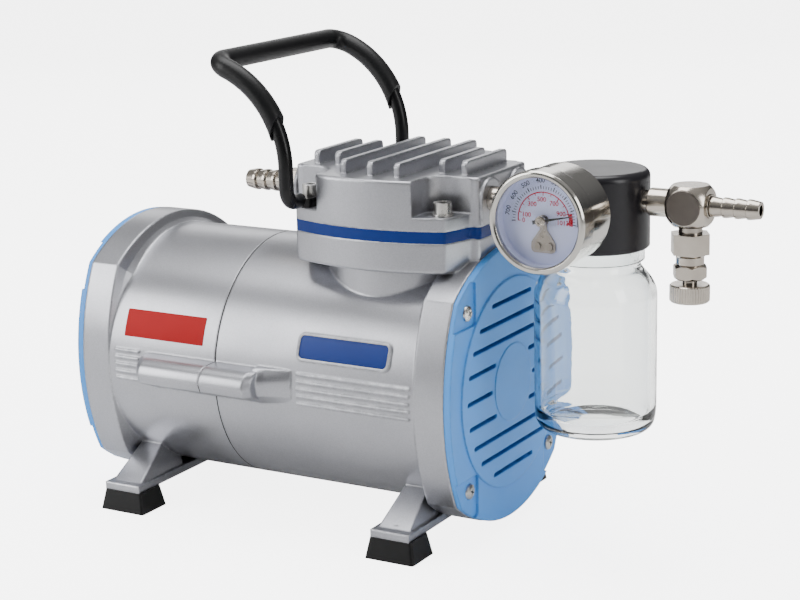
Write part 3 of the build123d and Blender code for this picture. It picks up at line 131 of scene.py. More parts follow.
def build_handling_marks():
    """Broad soft unevenness from handling and age, from 0 to 1."""
    group, given, out = new_effect("handling_marks", [("Marks per metre", 24.0)], [("Mask", "Float")])
    broad = put(group, "ShaderNodeTexNoise", {"Vector": place_points(group), "Scale": given[0], "Detail": 5.0,
                                              "Roughness": 0.6, "Distortion": 0.3})
    spread = put(group, "ShaderNodeMapRange", {"Value": broad.outputs["Fac"], "From Min": 0.3, "From Max": 0.7})
    group.links.new(spread.outputs[0], out["Mask"])
    return group


def build_rounded_edge():
    """Softened corners as a normal, and a patchy mask that is 1 along them, which the finishes use for edge wear
    and a painted edge highlight.
    """
    group, given, out = new_effect("rounded_edge", [("Radius", 0.0008), ("Edge breakup", 300.0)],
                                   [("Normal", "Vector"), ("Edge", "Float")])
    softened = put(group, "ShaderNodeBevel", {"Radius": given[0]}, samples=6).outputs[0]
    flat = put(group, "ShaderNodeNewGeometry").outputs["Normal"]
    likeness = put(group, "ShaderNodeVectorMath", {0: softened, 1: flat}, operation="DOT_PRODUCT").outputs["Value"]
    corner = put(group, "ShaderNodeMapRange", {"Value": likeness, "From Min": 0.99, "From Max": 0.86})
    patchy = put(group, "ShaderNodeTexNoise", {"Vector": place_points(group), "Scale": given[1], "Detail": 3.0})
    sparse = put(group, "ShaderNodeMapRange", {"Value": patchy.outputs["Fac"], "From Min": 0.42, "From Max": 0.62})
    group.links.new(softened, out["Normal"])
    group.links.new(math_node(group, "MULTIPLY", corner.outputs[0], sparse.outputs[0]), out["Edge"])
    return group


def build_corner_dust():
    """A mask of inner corners found by ambient occlusion, broken into patches, from 0 to 1: painted shade where a
    finish darkens them, dust where it lightens them.
    """
    group, given, out = new_effect("shade_and_dust_in_corners", [("Reach", 0.006)], [("Mask", "Float")])
    sheltered = put(group, "ShaderNodeAmbientOcclusion", {"Distance": given[0]}, samples=6).outputs["AO"]
    inner = put(group, "ShaderNodeMapRange", {"Value": sheltered, "From Min": 0.75, "From Max": 0.2})
    patchy = put(group, "ShaderNodeTexNoise", {"Vector": place_points(group), "Scale": 160.0, "Detail": 4.0})
    group.links.new(math_node(group, "MULTIPLY", inner.outputs[0], patchy.outputs["Fac"]), out["Mask"])
    return group


def build_drawn_lines():
    """Fine lines left by turning, drawing or brushing, long across the given axes."""
    group, given, out = new_effect("drawn_lines", [("Along X", 20.0), ("Along Y", 20.0), ("Along Z", 1800.0)],
                                   [("Lines", "Float")])
    split = put(group, "ShaderNodeSeparateXYZ", {"Vector": place_points(group)}).outputs
    stretched = [math_node(group, "MULTIPLY", split[i], given[i]) for i in range(3)]
    joined = put(group, "ShaderNodeCombineXYZ", dict(enumerate(stretched)))
    lines = put(group, "ShaderNodeTexNoise", {"Vector": joined.outputs[0], "Scale": 1.0, "Detail": 3.0})
    group.links.new(lines.outputs["Fac"], out["Lines"])
    return group


cast_skin = build_cast_skin()
metal_flake = build_metal_flake()
handling_marks = build_handling_marks()
rounded_edge = build_rounded_edge()
shade_and_dust_in_corners = build_corner_dust()
drawn_lines = build_drawn_lines()


def use_effect(tree, group, **values):
    """Places a shared group in a material and returns its outputs."""
    made = tree.nodes.new("ShaderNodeGroup")
    made.node_tree = group
    for name, value in values.items():
        made.inputs[name.replace("_", " ")].default_value = value
    return made.outputs


def blend_colours(tree, share, first, second):
    mixed = put(tree, "ShaderNodeMix", {"Factor": share, 6: first, 7: second}, data_type="RGBA")
    return mixed.outputs[2]


def rgba(colour):
    return (*colour, 1.0)


def make_finish(name, colour, second, rough, metallic=0.0, grain=900.0, depth=0.02, edge=0.5, edge_wear_and_highlight=None,
                dust_and_shade=None, flake=0.0, lines=None, line_depth=0.0, marks=24.0, **shader_values):
    """A finish: two close colours by handling marks, roughness range, surface height in mm, edge radius in mm,
    the colour of edges (edge wear and painted edge highlight), and the colour of inner corners (painted shade
    where darker than the finish, dust where lighter)."""
    material = bpy.data.materials.new(name)
    material.use_nodes = True
    tree = material.node_tree
    shader = tree.nodes["Principled BSDF"]
    mask = use_effect(tree, handling_marks, Marks_per_metre=marks)["Mask"]
    shade = blend_colours(tree, mask, rgba(colour), rgba(second))
    if flake:
        sparkle = use_effect(tree, metal_flake, Contrast=flake)["Shade"]
        shade = put(tree, "ShaderNodeVectorMath", {0: shade, "Scale": sparkle}, operation="SCALE").outputs[0]
    corner = use_effect(tree, rounded_edge, Radius=edge * MM)
    # Edges get a lighter colour: partly edge wear, partly a painted edge highlight.
    if edge_wear_and_highlight:
        shade = blend_colours(tree, corner["Edge"], shade, rgba(edge_wear_and_highlight))
    # Inner corners found by ambient occlusion take the corner colour: painted shade where it is darker than the
    # finish, dust where it is lighter.
    if dust_and_shade:
        shade = blend_colours(tree, use_effect(tree, shade_and_dust_in_corners)["Mask"], shade, rgba(dust_and_shade))
    tree.links.new(shade, shader.inputs["Base Color"])
    spread = put(tree, "ShaderNodeMapRange", {"Value": mask, "To Min": rough[0], "To Max": rough[1]})
    tree.links.new(spread.outputs[0], shader.inputs["Roughness"])
    height = use_effect(tree, cast_skin, Grains_per_metre=grain)["Height"]
    skin = put(tree, "ShaderNodeBump", {"Height": height, "Normal": corner["Normal"], "Strength": 1.0,
                                        "Distance": depth * MM})
    if lines:
        axes = dict(zip(("Along_X", "Along_Y", "Along_Z"), lines))
        fine = use_effect(tree, drawn_lines, **axes)["Lines"]
        skin = put(tree, "ShaderNodeBump", {"Height": fine, "Normal": skin.outputs[0], "Strength": 1.0,
                                            "Distance": line_depth * MM})
    tree.links.new(skin.outputs[0], shader.inputs["Normal"])
    shader.inputs["Metallic"].default_value = metallic
    for label, value in shader_values.items():
        shader.inputs[label.replace("_", " ")].default_value = value
    return material


def make_glass(name, tint, roughness, ripple, solid=1.0):
    """Clear glass with faint ripples from the mould. A thin window is made partly open by solid."""
    material = bpy.data.materials.new(name)
    material.use_nodes = True
    tree = material.node_tree
    shader = tree.nodes["Principled BSDF"]
    shader.inputs["Transmission Weight"].default_value = 1.0
    shader.inputs["Metallic"].default_value = 0.0
    shader.inputs["IOR"].default_value = 1.5
    shader.inputs["Alpha"].default_value = solid
    mask = use_effect(tree, handling_marks, Marks_per_metre=30.0)["Mask"]
    shade = blend_colours(tree, mask, rgba(tint), rgba([min(1.0, c * 1.012) for c in tint]))
    tree.links.new(shade, shader.inputs["Base Color"])
    spread = put(tree, "ShaderNodeMapRange", {"Value": mask, "To Min": roughness[0], "To Max": roughness[1]})
    tree.links.new(spread.outputs[0], shader.inputs["Roughness"])
    waves = use_effect(tree, cast_skin, Grains_per_metre=70.0)["Height"]
    skin = put(tree, "ShaderNodeBump", {"Height": waves, "Strength": 1.0, "Distance": ripple * MM})
    tree.links.new(skin.outputs[0], shader.inputs["Normal"])
    return material


# Lighter colour for the edges of bright metal: edge wear and a painted edge highlight.
BRIGHT_EDGE_WEAR_AND_HIGHLIGHT = (0.86, 0.87, 0.88)
# Corner colours: the dark one is painted shade; the pale one is dust on black parts and painted shade on pale
# ones.
PALE_DUST_AND_SHADE = (0.42, 0.41, 0.39)
DARK_CORNER_SHADE = (0.16, 0.155, 0.15)

finishes = {
    "silver_paint": make_finish(
        "silver_paint", (0.46, 0.465, 0.495), (0.42, 0.425, 0.455), (0.29, 0.36), metallic=0.9, grain=1500.0,
        depth=0.010, edge=1.6, edge_wear_and_highlight=(0.66, 0.67, 0.70), dust_and_shade=(0.15, 0.15, 0.155), flake=0.14),
    "light_blue": make_finish(
        "light_blue", (0.10, 0.40, 1.0), (0.09, 0.38, 0.98), (0.34, 0.42), grain=1400.0, depth=0.01, edge=1.2,
        edge_wear_and_highlight=(0.16, 0.46, 0.98), dust_and_shade=(0.012, 0.06, 0.20), Specular_IOR_Level=0.3),
    "dark_blue": make_finish(
        "dark_blue", (0.002, 0.030, 0.22), (0.002, 0.025, 0.19), (0.26, 0.36), metallic=0.1, grain=1600.0,
        depth=0.006, edge=0.4, edge_wear_and_highlight=(0.02, 0.08, 0.34), dust_and_shade=(0.004, 0.015, 0.07), Specular_IOR_Level=0.25),
    "zinc_screw": make_finish(
        "zinc_screw", (0.66, 0.65, 0.62), (0.56, 0.55, 0.52), (0.22, 0.36), metallic=1.0, grain=2600.0,
        depth=0.006, edge=0.3, edge_wear_and_highlight=BRIGHT_EDGE_WEAR_AND_HIGHLIGHT, dust_and_shade=DARK_CORNER_SHADE),
    "black_rubber": make_finish(
        "black_rubber", (0.004, 0.004, 0.0045), (0.008, 0.008, 0.008), (0.34, 0.46), grain=1200.0, depth=0.015,
        edge=0.7, edge_wear_and_highlight=(0.02, 0.02, 0.02), dust_and_shade=(0.012, 0.012, 0.012), Specular_IOR_Level=0.3),
    "seal_rubber": make_finish(
        "seal_rubber", (0.02, 0.02, 0.02), (0.035, 0.035, 0.035), (0.5, 0.65), grain=1500.0, depth=0.01),
    "black_seal": make_finish(
        "black_seal", (0.008, 0.008, 0.008), (0.014, 0.014, 0.014), (0.35, 0.5), grain=1500.0, depth=0.005),
    "hard_aluminium": make_finish(
        "hard_aluminium", (0.42, 0.42, 0.40), (0.36, 0.36, 0.35), (0.25, 0.35), metallic=1.0, depth=0.004,
        lines=(20.0, 20.0, 2600.0), line_depth=0.006),
    "spring_steel": make_finish(
        "spring_steel", (0.55, 0.56, 0.58), (0.45, 0.46, 0.50), (0.2, 0.3), metallic=1.0, depth=0.003,
        lines=(2400.0, 30.0, 30.0), line_depth=0.004),
    "nickel": make_finish(
        "nickel", (0.60, 0.545, 0.475), (0.51, 0.46, 0.40), (0.14, 0.25), metallic=1.0, grain=700.0, depth=0.008,
        edge=0.45, edge_wear_and_highlight=(0.80, 0.75, 0.67), dust_and_shade=(0.10, 0.085, 0.07), marks=60.0),
    "dark_nickel": make_finish(
        "dark_nickel", (0.155, 0.135, 0.12), (0.12, 0.105, 0.095), (0.28, 0.40), metallic=0.9, grain=1500.0,
        depth=0.012, edge=0.4, edge_wear_and_highlight=(0.36, 0.32, 0.28), dust_and_shade=(0.04, 0.035, 0.03)),
    "black_coat": make_finish(
        "black_coat", (0.003, 0.003, 0.0035), (0.006, 0.006, 0.007), (0.24, 0.34), grain=1500.0, depth=0.008,
        edge=0.5, edge_wear_and_highlight=(0.02, 0.02, 0.02), dust_and_shade=(0.012, 0.012, 0.012), Specular_IOR_Level=0.35),
    "grip_foam": make_finish(
        "grip_foam", (0.004, 0.004, 0.0045), (0.008, 0.008, 0.009), (0.34, 0.46), grain=1300.0, depth=0.02,
        edge=0.6, edge_wear_and_highlight=(0.018, 0.018, 0.018), dust_and_shade=(0.012, 0.012, 0.012), Specular_IOR_Level=0.35),
    "black_plastic": make_finish(
        "black_plastic", (0.010, 0.009, 0.012), (0.014, 0.013, 0.017), (0.26, 0.34), grain=1600.0, depth=0.010,
        edge=0.8, edge_wear_and_highlight=(0.03, 0.028, 0.034), dust_and_shade=(0.02, 0.02, 0.022), Specular_IOR_Level=0.45),
    "clear_collar": make_glass("clear_collar", (0.90, 0.925, 0.92), (0.04, 0.12), 0.03),
    "polished_steel": make_finish(
        "polished_steel", (0.62, 0.60, 0.56), (0.55, 0.53, 0.49), (0.10, 0.19), metallic=1.0, grain=500.0,
        depth=0.004, edge=0.4, edge_wear_and_highlight=BRIGHT_EDGE_WEAR_AND_HIGHLIGHT, dust_and_shade=(0.12, 0.11, 0.10), marks=40.0),
    "dial_white": make_finish(
        "dial_white", (0.62, 0.66, 0.88), (0.59, 0.63, 0.85), (0.42, 0.5), grain=2400.0, depth=0.002, edge=0.2,
        Specular_IOR_Level=0.1),
    "bracket_steel": make_finish(
        "bracket_steel", (0.30, 0.27, 0.235), (0.24, 0.215, 0.19), (0.24, 0.36), metallic=1.0, depth=0.004,
        edge=0.2, edge_wear_and_highlight=(0.55, 0.52, 0.47), lines=(30.0, 30.0, 3200.0), line_depth=0.004),
    "pointer_black": make_finish(
        "pointer_black", (0.006, 0.006, 0.007), (0.010, 0.010, 0.012), (0.3, 0.42), depth=0.002, edge=0.1),
    "movement_brass": make_finish(
        "movement_brass", (0.66, 0.44, 0.16), (0.55, 0.36, 0.13), (0.25, 0.4), metallic=1.0, depth=0.006,
        edge=0.3, edge_wear_and_highlight=(0.85, 0.66, 0.34), dust_and_shade=DARK_CORNER_SHADE),
    "shaft_steel": make_finish(
        "shaft_steel", (0.55, 0.55, 0.55), (0.46, 0.46, 0.47), (0.16, 0.28), metallic=1.0, depth=0.003,
        edge=0.4, lines=(2600.0, 30.0, 30.0), line_depth=0.005, edge_wear_and_highlight=BRIGHT_EDGE_WEAR_AND_HIGHLIGHT),
    "bearing_steel": make_finish(
        "bearing_steel", (0.56, 0.56, 0.58), (0.5, 0.5, 0.52), (0.12, 0.22), metallic=1.0, depth=0.003,
        edge=0.4, edge_wear_and_highlight=BRIGHT_EDGE_WEAR_AND_HIGHLIGHT),
    "cast_weight": make_finish(
        "cast_weight", (0.16, 0.16, 0.165), (0.11, 0.11, 0.115), (0.5, 0.68), metallic=0.8, grain=700.0,
        depth=0.05, edge=0.6, edge_wear_and_highlight=(0.4, 0.4, 0.4), dust_and_shade=(0.06, 0.05, 0.04)),
    "fan_plastic": make_finish(
        "fan_plastic", (0.02, 0.02, 0.022), (0.03, 0.03, 0.032), (0.38, 0.5), grain=1500.0, depth=0.01, edge=0.5,
        dust_and_shade=PALE_DUST_AND_SHADE),
    "lamination": make_finish(
        "lamination", (0.20, 0.21, 0.24), (0.14, 0.15, 0.18), (0.4, 0.55), metallic=0.85, depth=0.006,
        edge=0.3, lines=(2000.0, 20.0, 20.0), line_depth=0.12, edge_wear_and_highlight=(0.4, 0.4, 0.42)),
    "copper_winding": make_finish(
        "copper_winding", (0.42, 0.12, 0.035), (0.33, 0.08, 0.025), (0.2, 0.32), metallic=0.7, depth=0.01,
        edge=0.8, lines=(1100.0, 60.0, 60.0), line_depth=0.25, Coat_Weight=0.5, Coat_Roughness=0.15),
    "cast_rod": make_finish(
        "cast_rod", (0.48, 0.48, 0.48), (0.40, 0.40, 0.41), (0.34, 0.46), metallic=1.0, grain=900.0, depth=0.03,
        edge=0.6, edge_wear_and_highlight=BRIGHT_EDGE_WEAR_AND_HIGHLIGHT, dust_and_shade=DARK_CORNER_SHADE),
    "cup_polymer": make_finish(
        "cup_polymer", (0.10, 0.075, 0.05), (0.07, 0.055, 0.04), (0.4, 0.5), depth=0.01, edge=0.3),
    "capacitor_case": make_finish(
        "capacitor_case", (0.62, 0.62, 0.59), (0.56, 0.56, 0.53), (0.35, 0.45), depth=0.008, edge=0.6,
        dust_and_shade=PALE_DUST_AND_SHADE),
    "pin_metal": make_finish(
        "pin_metal", (0.70, 0.60, 0.36), (0.62, 0.52, 0.30), (0.2, 0.3), metallic=1.0, depth=0.003, edge=0.3,
        edge_wear_and_highlight=BRIGHT_EDGE_WEAR_AND_HIGHLIGHT),
    "rocker_plastic": make_finish(
        "rocker_plastic", (0.010, 0.010, 0.010), (0.016, 0.016, 0.016), (0.16, 0.26), grain=1500.0, depth=0.006,
        edge=0.5, Coat_Weight=0.3),
    "jar_glass": make_glass("jar_glass", (0.965, 0.985, 0.975), (0.0, 0.02), 0.05),
    "lens_glass": make_glass("lens_glass", (0.985, 0.99, 0.99), (0.0, 0.012), 0.003, solid=0.07),
}
red_film = make_finish("red_film", (0.46, 0.0, 0.002), (0.43, 0.0, 0.002), (0.30, 0.38), depth=0.004, edge=0.2,
                       Specular_IOR_Level=0.12)
red_ink = make_finish("red_ink", (0.50, 0.0, 0.006), (0.46, 0.0, 0.005), (0.4, 0.5), depth=0.001, edge=0.05,
                      Specular_IOR_Level=0.1)
white_mark = make_finish("white_mark", (0.70, 0.70, 0.70), (0.64, 0.64, 0.64), (0.4, 0.5), depth=0.002,
                         edge=0.05)

for row in frame["record"]["subparts"]:
    node_object = frame["nodes"][row["node"]]
    for material_slot in node_object.material_slots:
        material_slot.material = finishes[row["material_slot"]]
for material_slot in frame["nodes"]["lens_seal"].material_slots:
    material_slot.material = finishes["dial_white"]


# Mesh helpers

def finish_piece(name, bm, material, body, smooth_under=35.0):
    """Turns a bmesh into a piece that rides on a body."""
    bmesh.ops.recalc_face_normals(bm, faces=bm.faces)
    mesh = bpy.data.meshes.new(name)
    bm.to_mesh(mesh)
    bm.free()
    mesh.materials.append(material)
    mesh.shade_smooth()
    mesh.set_sharp_from_angle(angle=math.radians(smooth_under))
    piece = bpy.data.objects.new(name, mesh)
    bpy.context.scene.collection.objects.link(piece)
    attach(piece, body)
    return piece


def rounded_profile(points, radius, steps=5):
    """Rounds the corners of a closed profile."""
    made = []
    for i, here in enumerate(points):
        here = Vector(here)
        before, after = Vector(points[i - 1]), Vector(points[(i + 1) % len(points)])
        back, on = before - here, after - here
        reach = min(radius, back.length * 0.45, on.length * 0.45)
        start, end = here + back.normalized() * reach, here + on.normalized() * reach
        for k in range(steps + 1):
            t = k / steps
            made.append(start * (1 - t) ** 2 + here * 2 * t * (1 - t) + end * t * t)
    return made


def revolve_profile(points, place, around=112):
    """Closed solid: points are (along, out) pairs turned about the +Z axis of place."""
    bm = bmesh.new()
    rings = []
    for along, out in points:
        if out < 1e-7:
            rings.append([bm.verts.new(place @ Vector((0, 0, along)))])
            continue
        ring = []
        for k in range(around):
            a = 2 * math.pi * k / around
            ring.append(bm.verts.new(place @ Vector((out * math.cos(a), out * math.sin(a), along))))
        rings.append(ring)
    for first, second in zip(rings, rings[1:] + rings[:1]):
        if len(first) == 1 and len(second) == 1:
            continue
        for k in range(around):
            n = (k + 1) % around
            corners = [first[k % len(first)], first[n % len(first)], second[n % len(second)],
                       second[k % len(second)]]
            bm.faces.new(list(dict.fromkeys(corners)))
    return bm


def rounded_rows(length, width, corner, rows=10):
    """Half lengths of a rounded rectangle at heights across its width: (height, half length)."""
    made = []
    straight = width / 2 - corner
    for k in range(rows + 1):
        a = math.pi / 2 * (1 - k / rows)
        made.append((-straight - corner * math.sin(a), length / 2 - corner + corner * math.cos(a)))
    middle = [(straight * (2 * k / rows - 1), length / 2) for k in range(1, rows)]
    return made + middle + [(-v, u) for v, u in reversed(made)]


def on_case(x, angle, radius):
    """A point on the housing's cylinder, its angle measured up from level on the near side."""
    return Vector((x, -radius * math.cos(angle), AXIS_Z + radius * math.sin(angle)))


def curved_plate(bm, middle_x, middle_deg, length, width, corner, inner, outer):
    """Adds a closed plate with round corners that follows the housing's curve, between two radii."""
    rows = rounded_rows(length, width, corner)
    low, high = [], []
    for across, half in rows:
        angle = math.radians(middle_deg) + across / CASE_R
        for layer, radius in ((low, inner), (high, outer)):
            layer.append([bm.verts.new(on_case(middle_x + side * half, angle, radius)) for side in (-1, 1)])
    for k in range(len(rows) - 1):
        bm.faces.new((high[k][0], high[k][1], high[k + 1][1], high[k + 1][0]))
        bm.faces.new((low[k][0], low[k + 1][0], low[k + 1][1], low[k][1]))
        bm.faces.new((low[k][0], high[k][0], high[k + 1][0], low[k + 1][0]))
        bm.faces.new((low[k][1], low[k + 1][1], high[k + 1][1], high[k][1]))
    for k in (0, -1):
        bm.faces.new((low[k][0], low[k][1], high[k][1], high[k][0]))


# Bare plates on the housings: middle in X and degrees up, length, width, corner, inner and outer radius in mm

PLATES = {
    "blank_name_plate": (-13.6, 20.7, 48.4, 11.2, 2.2, 61.4, 62.62),
    "blank_red_patch": (-117.6, 21.5, 47.6, 14.0, 0.5, 62.0, 62.14),
}


def build_plate(middle_x, middle_deg, *sizes):
    bm = bmesh.new()
    curved_plate(bm, middle_x * MM, middle_deg, *(value * MM for value in sizes))
    return bm


finish_piece("blank_name_plate", build_plate(*PLATES["blank_name_plate"]), finishes["dark_blue"], "casing")
finish_piece("blank_red_patch", build_plate(*PLATES["blank_red_patch"]), red_film, "casing")


# Seam between the housings: a dark line round the casing that also follows both side bars, painted shadow of the
# gap between the housings

SEAM_HALF = 0.3 * MM          # half the width of the line
SEAM_FLOOR = 60.4 * MM        # how deep the line's solid reaches into the casing
SEAM_PROUD = 0.03 * MM        # how far it stands out of the casting
BAR_DEEP = 0.6 * MM           # how deep it reaches into a side bar
BAR_REACH = 76.5 * MM         # the side bar's crest
BAR_SECTION = ((59.0, 9.6), (69.0, 9.3), (71.6, 8.6), (73.6, 7.2), (75.2, 5.2), (76.2, 3.0), (76.5, 1.5),
               (74.85, -2.5), (59.0, -8.6))


def bar_outline(side, lift):
    """The side bar's section as (y, z) points, moved out of its surface by lift."""
    section = [Vector(p) * MM for p in BAR_SECTION]
    made = []
    for i, here in enumerate(section):
        before, after = section[max(i - 1, 0)], section[min(i + 1, len(section) - 1)]
        along = (after - before).normalized()
        y, z = here + Vector((-along.y, along.x)) * lift
        made.append((side * min(BAR_REACH, y), AXIS_Z + z))
    return made


def build_seam():
    place = Matrix.Translation((SEAM_X, 0, AXIS_Z)) @ Matrix.Rotation(math.radians(90), 4, "Y")
    crest = CASE_R + SEAM_PROUD
    line = [(-SEAM_HALF, SEAM_FLOOR), (-SEAM_HALF, crest), (SEAM_HALF, crest), (SEAM_HALF, SEAM_FLOOR)]
    bm = revolve_profile(line, place, 160)
    for side in (-1, 1):
        rings = []
        for (y0, z0), (y1, z1) in zip(bar_outline(side, -BAR_DEEP), bar_outline(side, SEAM_PROUD)):
            rings.append([bm.verts.new((SEAM_X + x, y, z)) for x, y, z in (
                (-SEAM_HALF, y0, z0), (-SEAM_HALF, y1, z1), (SEAM_HALF, y1, z1), (SEAM_HALF, y0, z0))])
        for first, second in zip(rings, rings[1:]):
            for k in range(4):
                n = (k + 1) % 4
                bm.faces.new((first[k], first[n], second[n], second[k]))
        bm.faces.new(rings[0])
        bm.faces.new(rings[-1])
    return bm


# The seam line takes the dark seal rubber finish as painted shadow of the gap.
finish_piece("seam_line", build_seam(), finishes["seal_rubber"], "casing")


# Dark crosses on the cover screws, painted shade of their cross recesses, and the marks on the switch's rocker

MARK_T = 0.05 * MM


def thin_plate(bm, outline, place, thick=MARK_T):
    """Adds a flat closed plate: outline points in the plane of place, thick along its +Z."""
    low = [bm.verts.new(place @ Vector((u, v, 0))) for u, v in outline]
    high = [bm.verts.new(place @ Vector((u, v, thick))) for u, v in outline]
    bm.faces.new(low)
    bm.faces.new(high)
    for k in range(len(outline)):
        n = (k + 1) % len(outline)
        bm.faces.new((low[k], low[n], high[n], high[k]))


CROSS_ARM, CROSS_HALF = 1.75 * MM, 0.42 * MM
CROSS_LEAN = 24                # degrees that each cross is turned
SCREW_Y, SCREW_Z = 42.3 * MM, 43.2 * MM
HEAD_CROWNS = ((45.58 * MM, 1), (-170.78 * MM, -1))     # X of the front and rear screws' crowns, and their way


def build_crosses():
    cross = []
    for k in range(4):
        turn = Matrix.Rotation(math.radians(90 * k), 2)
        arm = ((CROSS_ARM, -CROSS_HALF * 0.7), (CROSS_ARM, CROSS_HALF * 0.7), (CROSS_HALF, CROSS_HALF))
        cross += [tuple(turn @ Vector(p)) for p in arm]
    bm = bmesh.new()
    for x, way in HEAD_CROWNS:
        for side in (-1, 1):
            for rise in (-1, 1):
                crown = Matrix.Translation((x, side * SCREW_Y, AXIS_Z + rise * SCREW_Z))
                facing = Matrix.Rotation(math.radians(90 * way), 4, "Y")
                lean = Matrix.Rotation(math.radians(CROSS_LEAN * rise), 4, "Z")
                thin_plate(bm, cross, crown @ facing @ lean)
    return bm


ROCKER_PIVOT = Vector((-168.1, 0, 93.3)) * MM
ROCKER_TILT = Matrix.Rotation(math.radians(8), 4, "Y")
MARK_HALF_W, MARK_HALF_H = 0.35 * MM, 1.4 * MM
RING_IN, RING_OUT = 0.85 * MM, 1.4 * MM


def rocker_face(half):
    """Place on the rocker's upper (1) or lower (-1) face, its +Z pointing out of the face."""
    middle = Vector((-5.0, 0, 3.75 * half)) * MM
    up = Vector((-1.2 * half, 0, 7.5)).normalized()
    out = Vector((-7.5, 0, -1.2 * half)).normalized()
    turn = Matrix((up.cross(out), up, out)).transposed().to_4x4()
    return Matrix.Translation(ROCKER_PIVOT) @ ROCKER_TILT @ Matrix.Translation(middle) @ turn


def build_rocker_marks():
    bm = bmesh.new()
    stroke = [(u * MARK_HALF_W, v * MARK_HALF_H) for u, v in ((-1, -1), (1, -1), (1, 1), (-1, 1))]
    thin_plate(bm, stroke, rocker_face(1))
    for k in range(24):
        a, b = math.radians(15 * k), math.radians(15 * (k + 1))
        part = [(r * math.cos(t), r * math.sin(t)) for r, t in ((RING_IN, a), (RING_OUT, a), (RING_OUT, b),
                                                               (RING_IN, b))]
        thin_plate(bm, part, rocker_face(-1))
    bmesh.ops.remove_doubles(bm, verts=bm.verts, dist=0.001 * MM)
    return bm


# The crosses are thin dark plates on the screw heads: painted shade of cross recesses.
finish_piece("screw_crosses", build_crosses(), finishes["seal_rubber"], "casing")
finish_piece("rocker_marks", build_rocker_marks(), white_mark, "rocker")


# Glass jar, smoother than its CAD solid

jar = [(2.4, 0.0), (2.0, 20.2), (0.0, 23.7), (3.0, 27.2), (9.0, 28.2), (66.0, 28.2), (71.0, 26.0), (76.0, 21.6),
       (79.0, 20.0), (82.0, 20.2), (95.9, 20.2), (95.9, 17.2), (79.5, 17.2), (76.0, 18.0), (70.0, 23.6),
       (64.5, 25.6), (9.5, 25.6), (5.4, 22.6), (5.0, 0.0)]
JAR_FOOT = 61.6 * MM
JAR_ROUNDING = 2.6
jar_place = Matrix.Translation((JAR_X, PORT_Y, JAR_FOOT))
smooth_jar = [Vector(p) * MM for p in (jar[0], *rounded_profile(jar[1:-1], JAR_ROUNDING), jar[-1])]
jar_piece = finish_piece("pressed_jar", revolve_profile(smooth_jar, jar_place), finishes["jar_glass"], "jar",
                         smooth_under=60.0)
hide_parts("glass_jar")


# Dial print

GAUGE = Vector((96.0, -68.2, 169.5)) * MM     # middle of the dial face
DIAL_R = 19.7 * MM
SCALE_START, SCALE_END = 184.5, -4.5
INK = 0.06 * MM


def dial_point(degrees, share, lift=0.0):
    """A point of the dial face: angle anticlockwise from level right, share of its radius, height above it."""
    a = math.radians(degrees)
    return GAUGE + Vector((math.cos(a) * share * DIAL_R, -lift, math.sin(a) * share * DIAL_R))


def printed_arc(bm, start, end, low, high):
    """Adds a thin band of ink between two angles and two shares of the dial's radius."""
    steps = max(1, int(abs(end - start) / 3))
    previous = None
    for k in range(steps + 1):
        a = start + (end - start) * k / steps
        ring = [bm.verts.new(dial_point(a, r, h)) for r, h in ((low, 0), (low, INK), (high, INK), (high, 0))]
        if previous:
            for i in range(4):
                bm.faces.new((previous[i], previous[(i + 1) % 4], ring[(i + 1) % 4], ring[i]))
        if k in (0, steps):
            bm.faces.new(ring)
        previous = ring


def tick(bm, degrees, low, high, thickness):
    half = math.degrees(thickness * MM / 2 / (DIAL_R * (low + high) / 2))
    printed_arc(bm, degrees - half, degrees + half, low, high)


def printed_number(bm, body, degrees, share, height, lean):
    """Adds a number, upright or leaned to follow the scale."""
    curve = bpy.data.curves.new("number", "FONT")
    curve.body = body
    curve.size = height * MM * 1.38
    curve.extrude = INK / 2
    curve.offset = 0.045 * MM
    curve.align_x = "CENTER"
    curve.align_y = "CENTER"
    curve.resolution_u = 3
    shown = bpy.data.objects.new("number", curve)
    bpy.context.scene.collection.objects.link(shown)
    bpy.context.view_layer.update()
    mesh = bpy.data.meshes.new_from_object(shown.evaluated_get(bpy.context.evaluated_depsgraph_get()))
    face = Matrix(((1, 0, 0), (0, 0, -1), (0, 1, 0))).to_4x4()
    turn = Matrix.Rotation(math.radians(degrees - 90 if lean else 0), 4, "Z")
    mesh.transform(Matrix.Translation(dial_point(degrees, share, INK / 2)) @ face @ turn)
    bm.from_mesh(mesh)
    bpy.data.objects.remove(shown)
    bpy.data.curves.remove(curve)
    bpy.data.meshes.remove(mesh)


def scale_angle(share):
    return SCALE_START + (SCALE_END - SCALE_START) * share


bm = bmesh.new()
FULL_OUTER = 760
for reading in range(0, FULL_OUTER + 1, 20):
    major = reading % 100 == 0 or reading == FULL_OUTER
    tick(bm, scale_angle(1 - reading / FULL_OUTER), 0.69, 0.785 if major else 0.755, 0.46 if major else 0.30)
for reading in range(0, 701, 100):
    printed_number(bm, str(reading), scale_angle(1 - reading / FULL_OUTER), 0.88, 2.1, True)
for low, high, start, end in ((0.80, 0.82, 9.5, -6.5), (0.91, 0.93, 9.5, -6.5), (0.80, 0.93, 9.5, 8.2),
                              (0.80, 0.93, -5.2, -6.5)):
    printed_arc(bm, start, end, low, high)
finish_piece("dial_outer_scale", bm, finishes["pointer_black"], "casing")

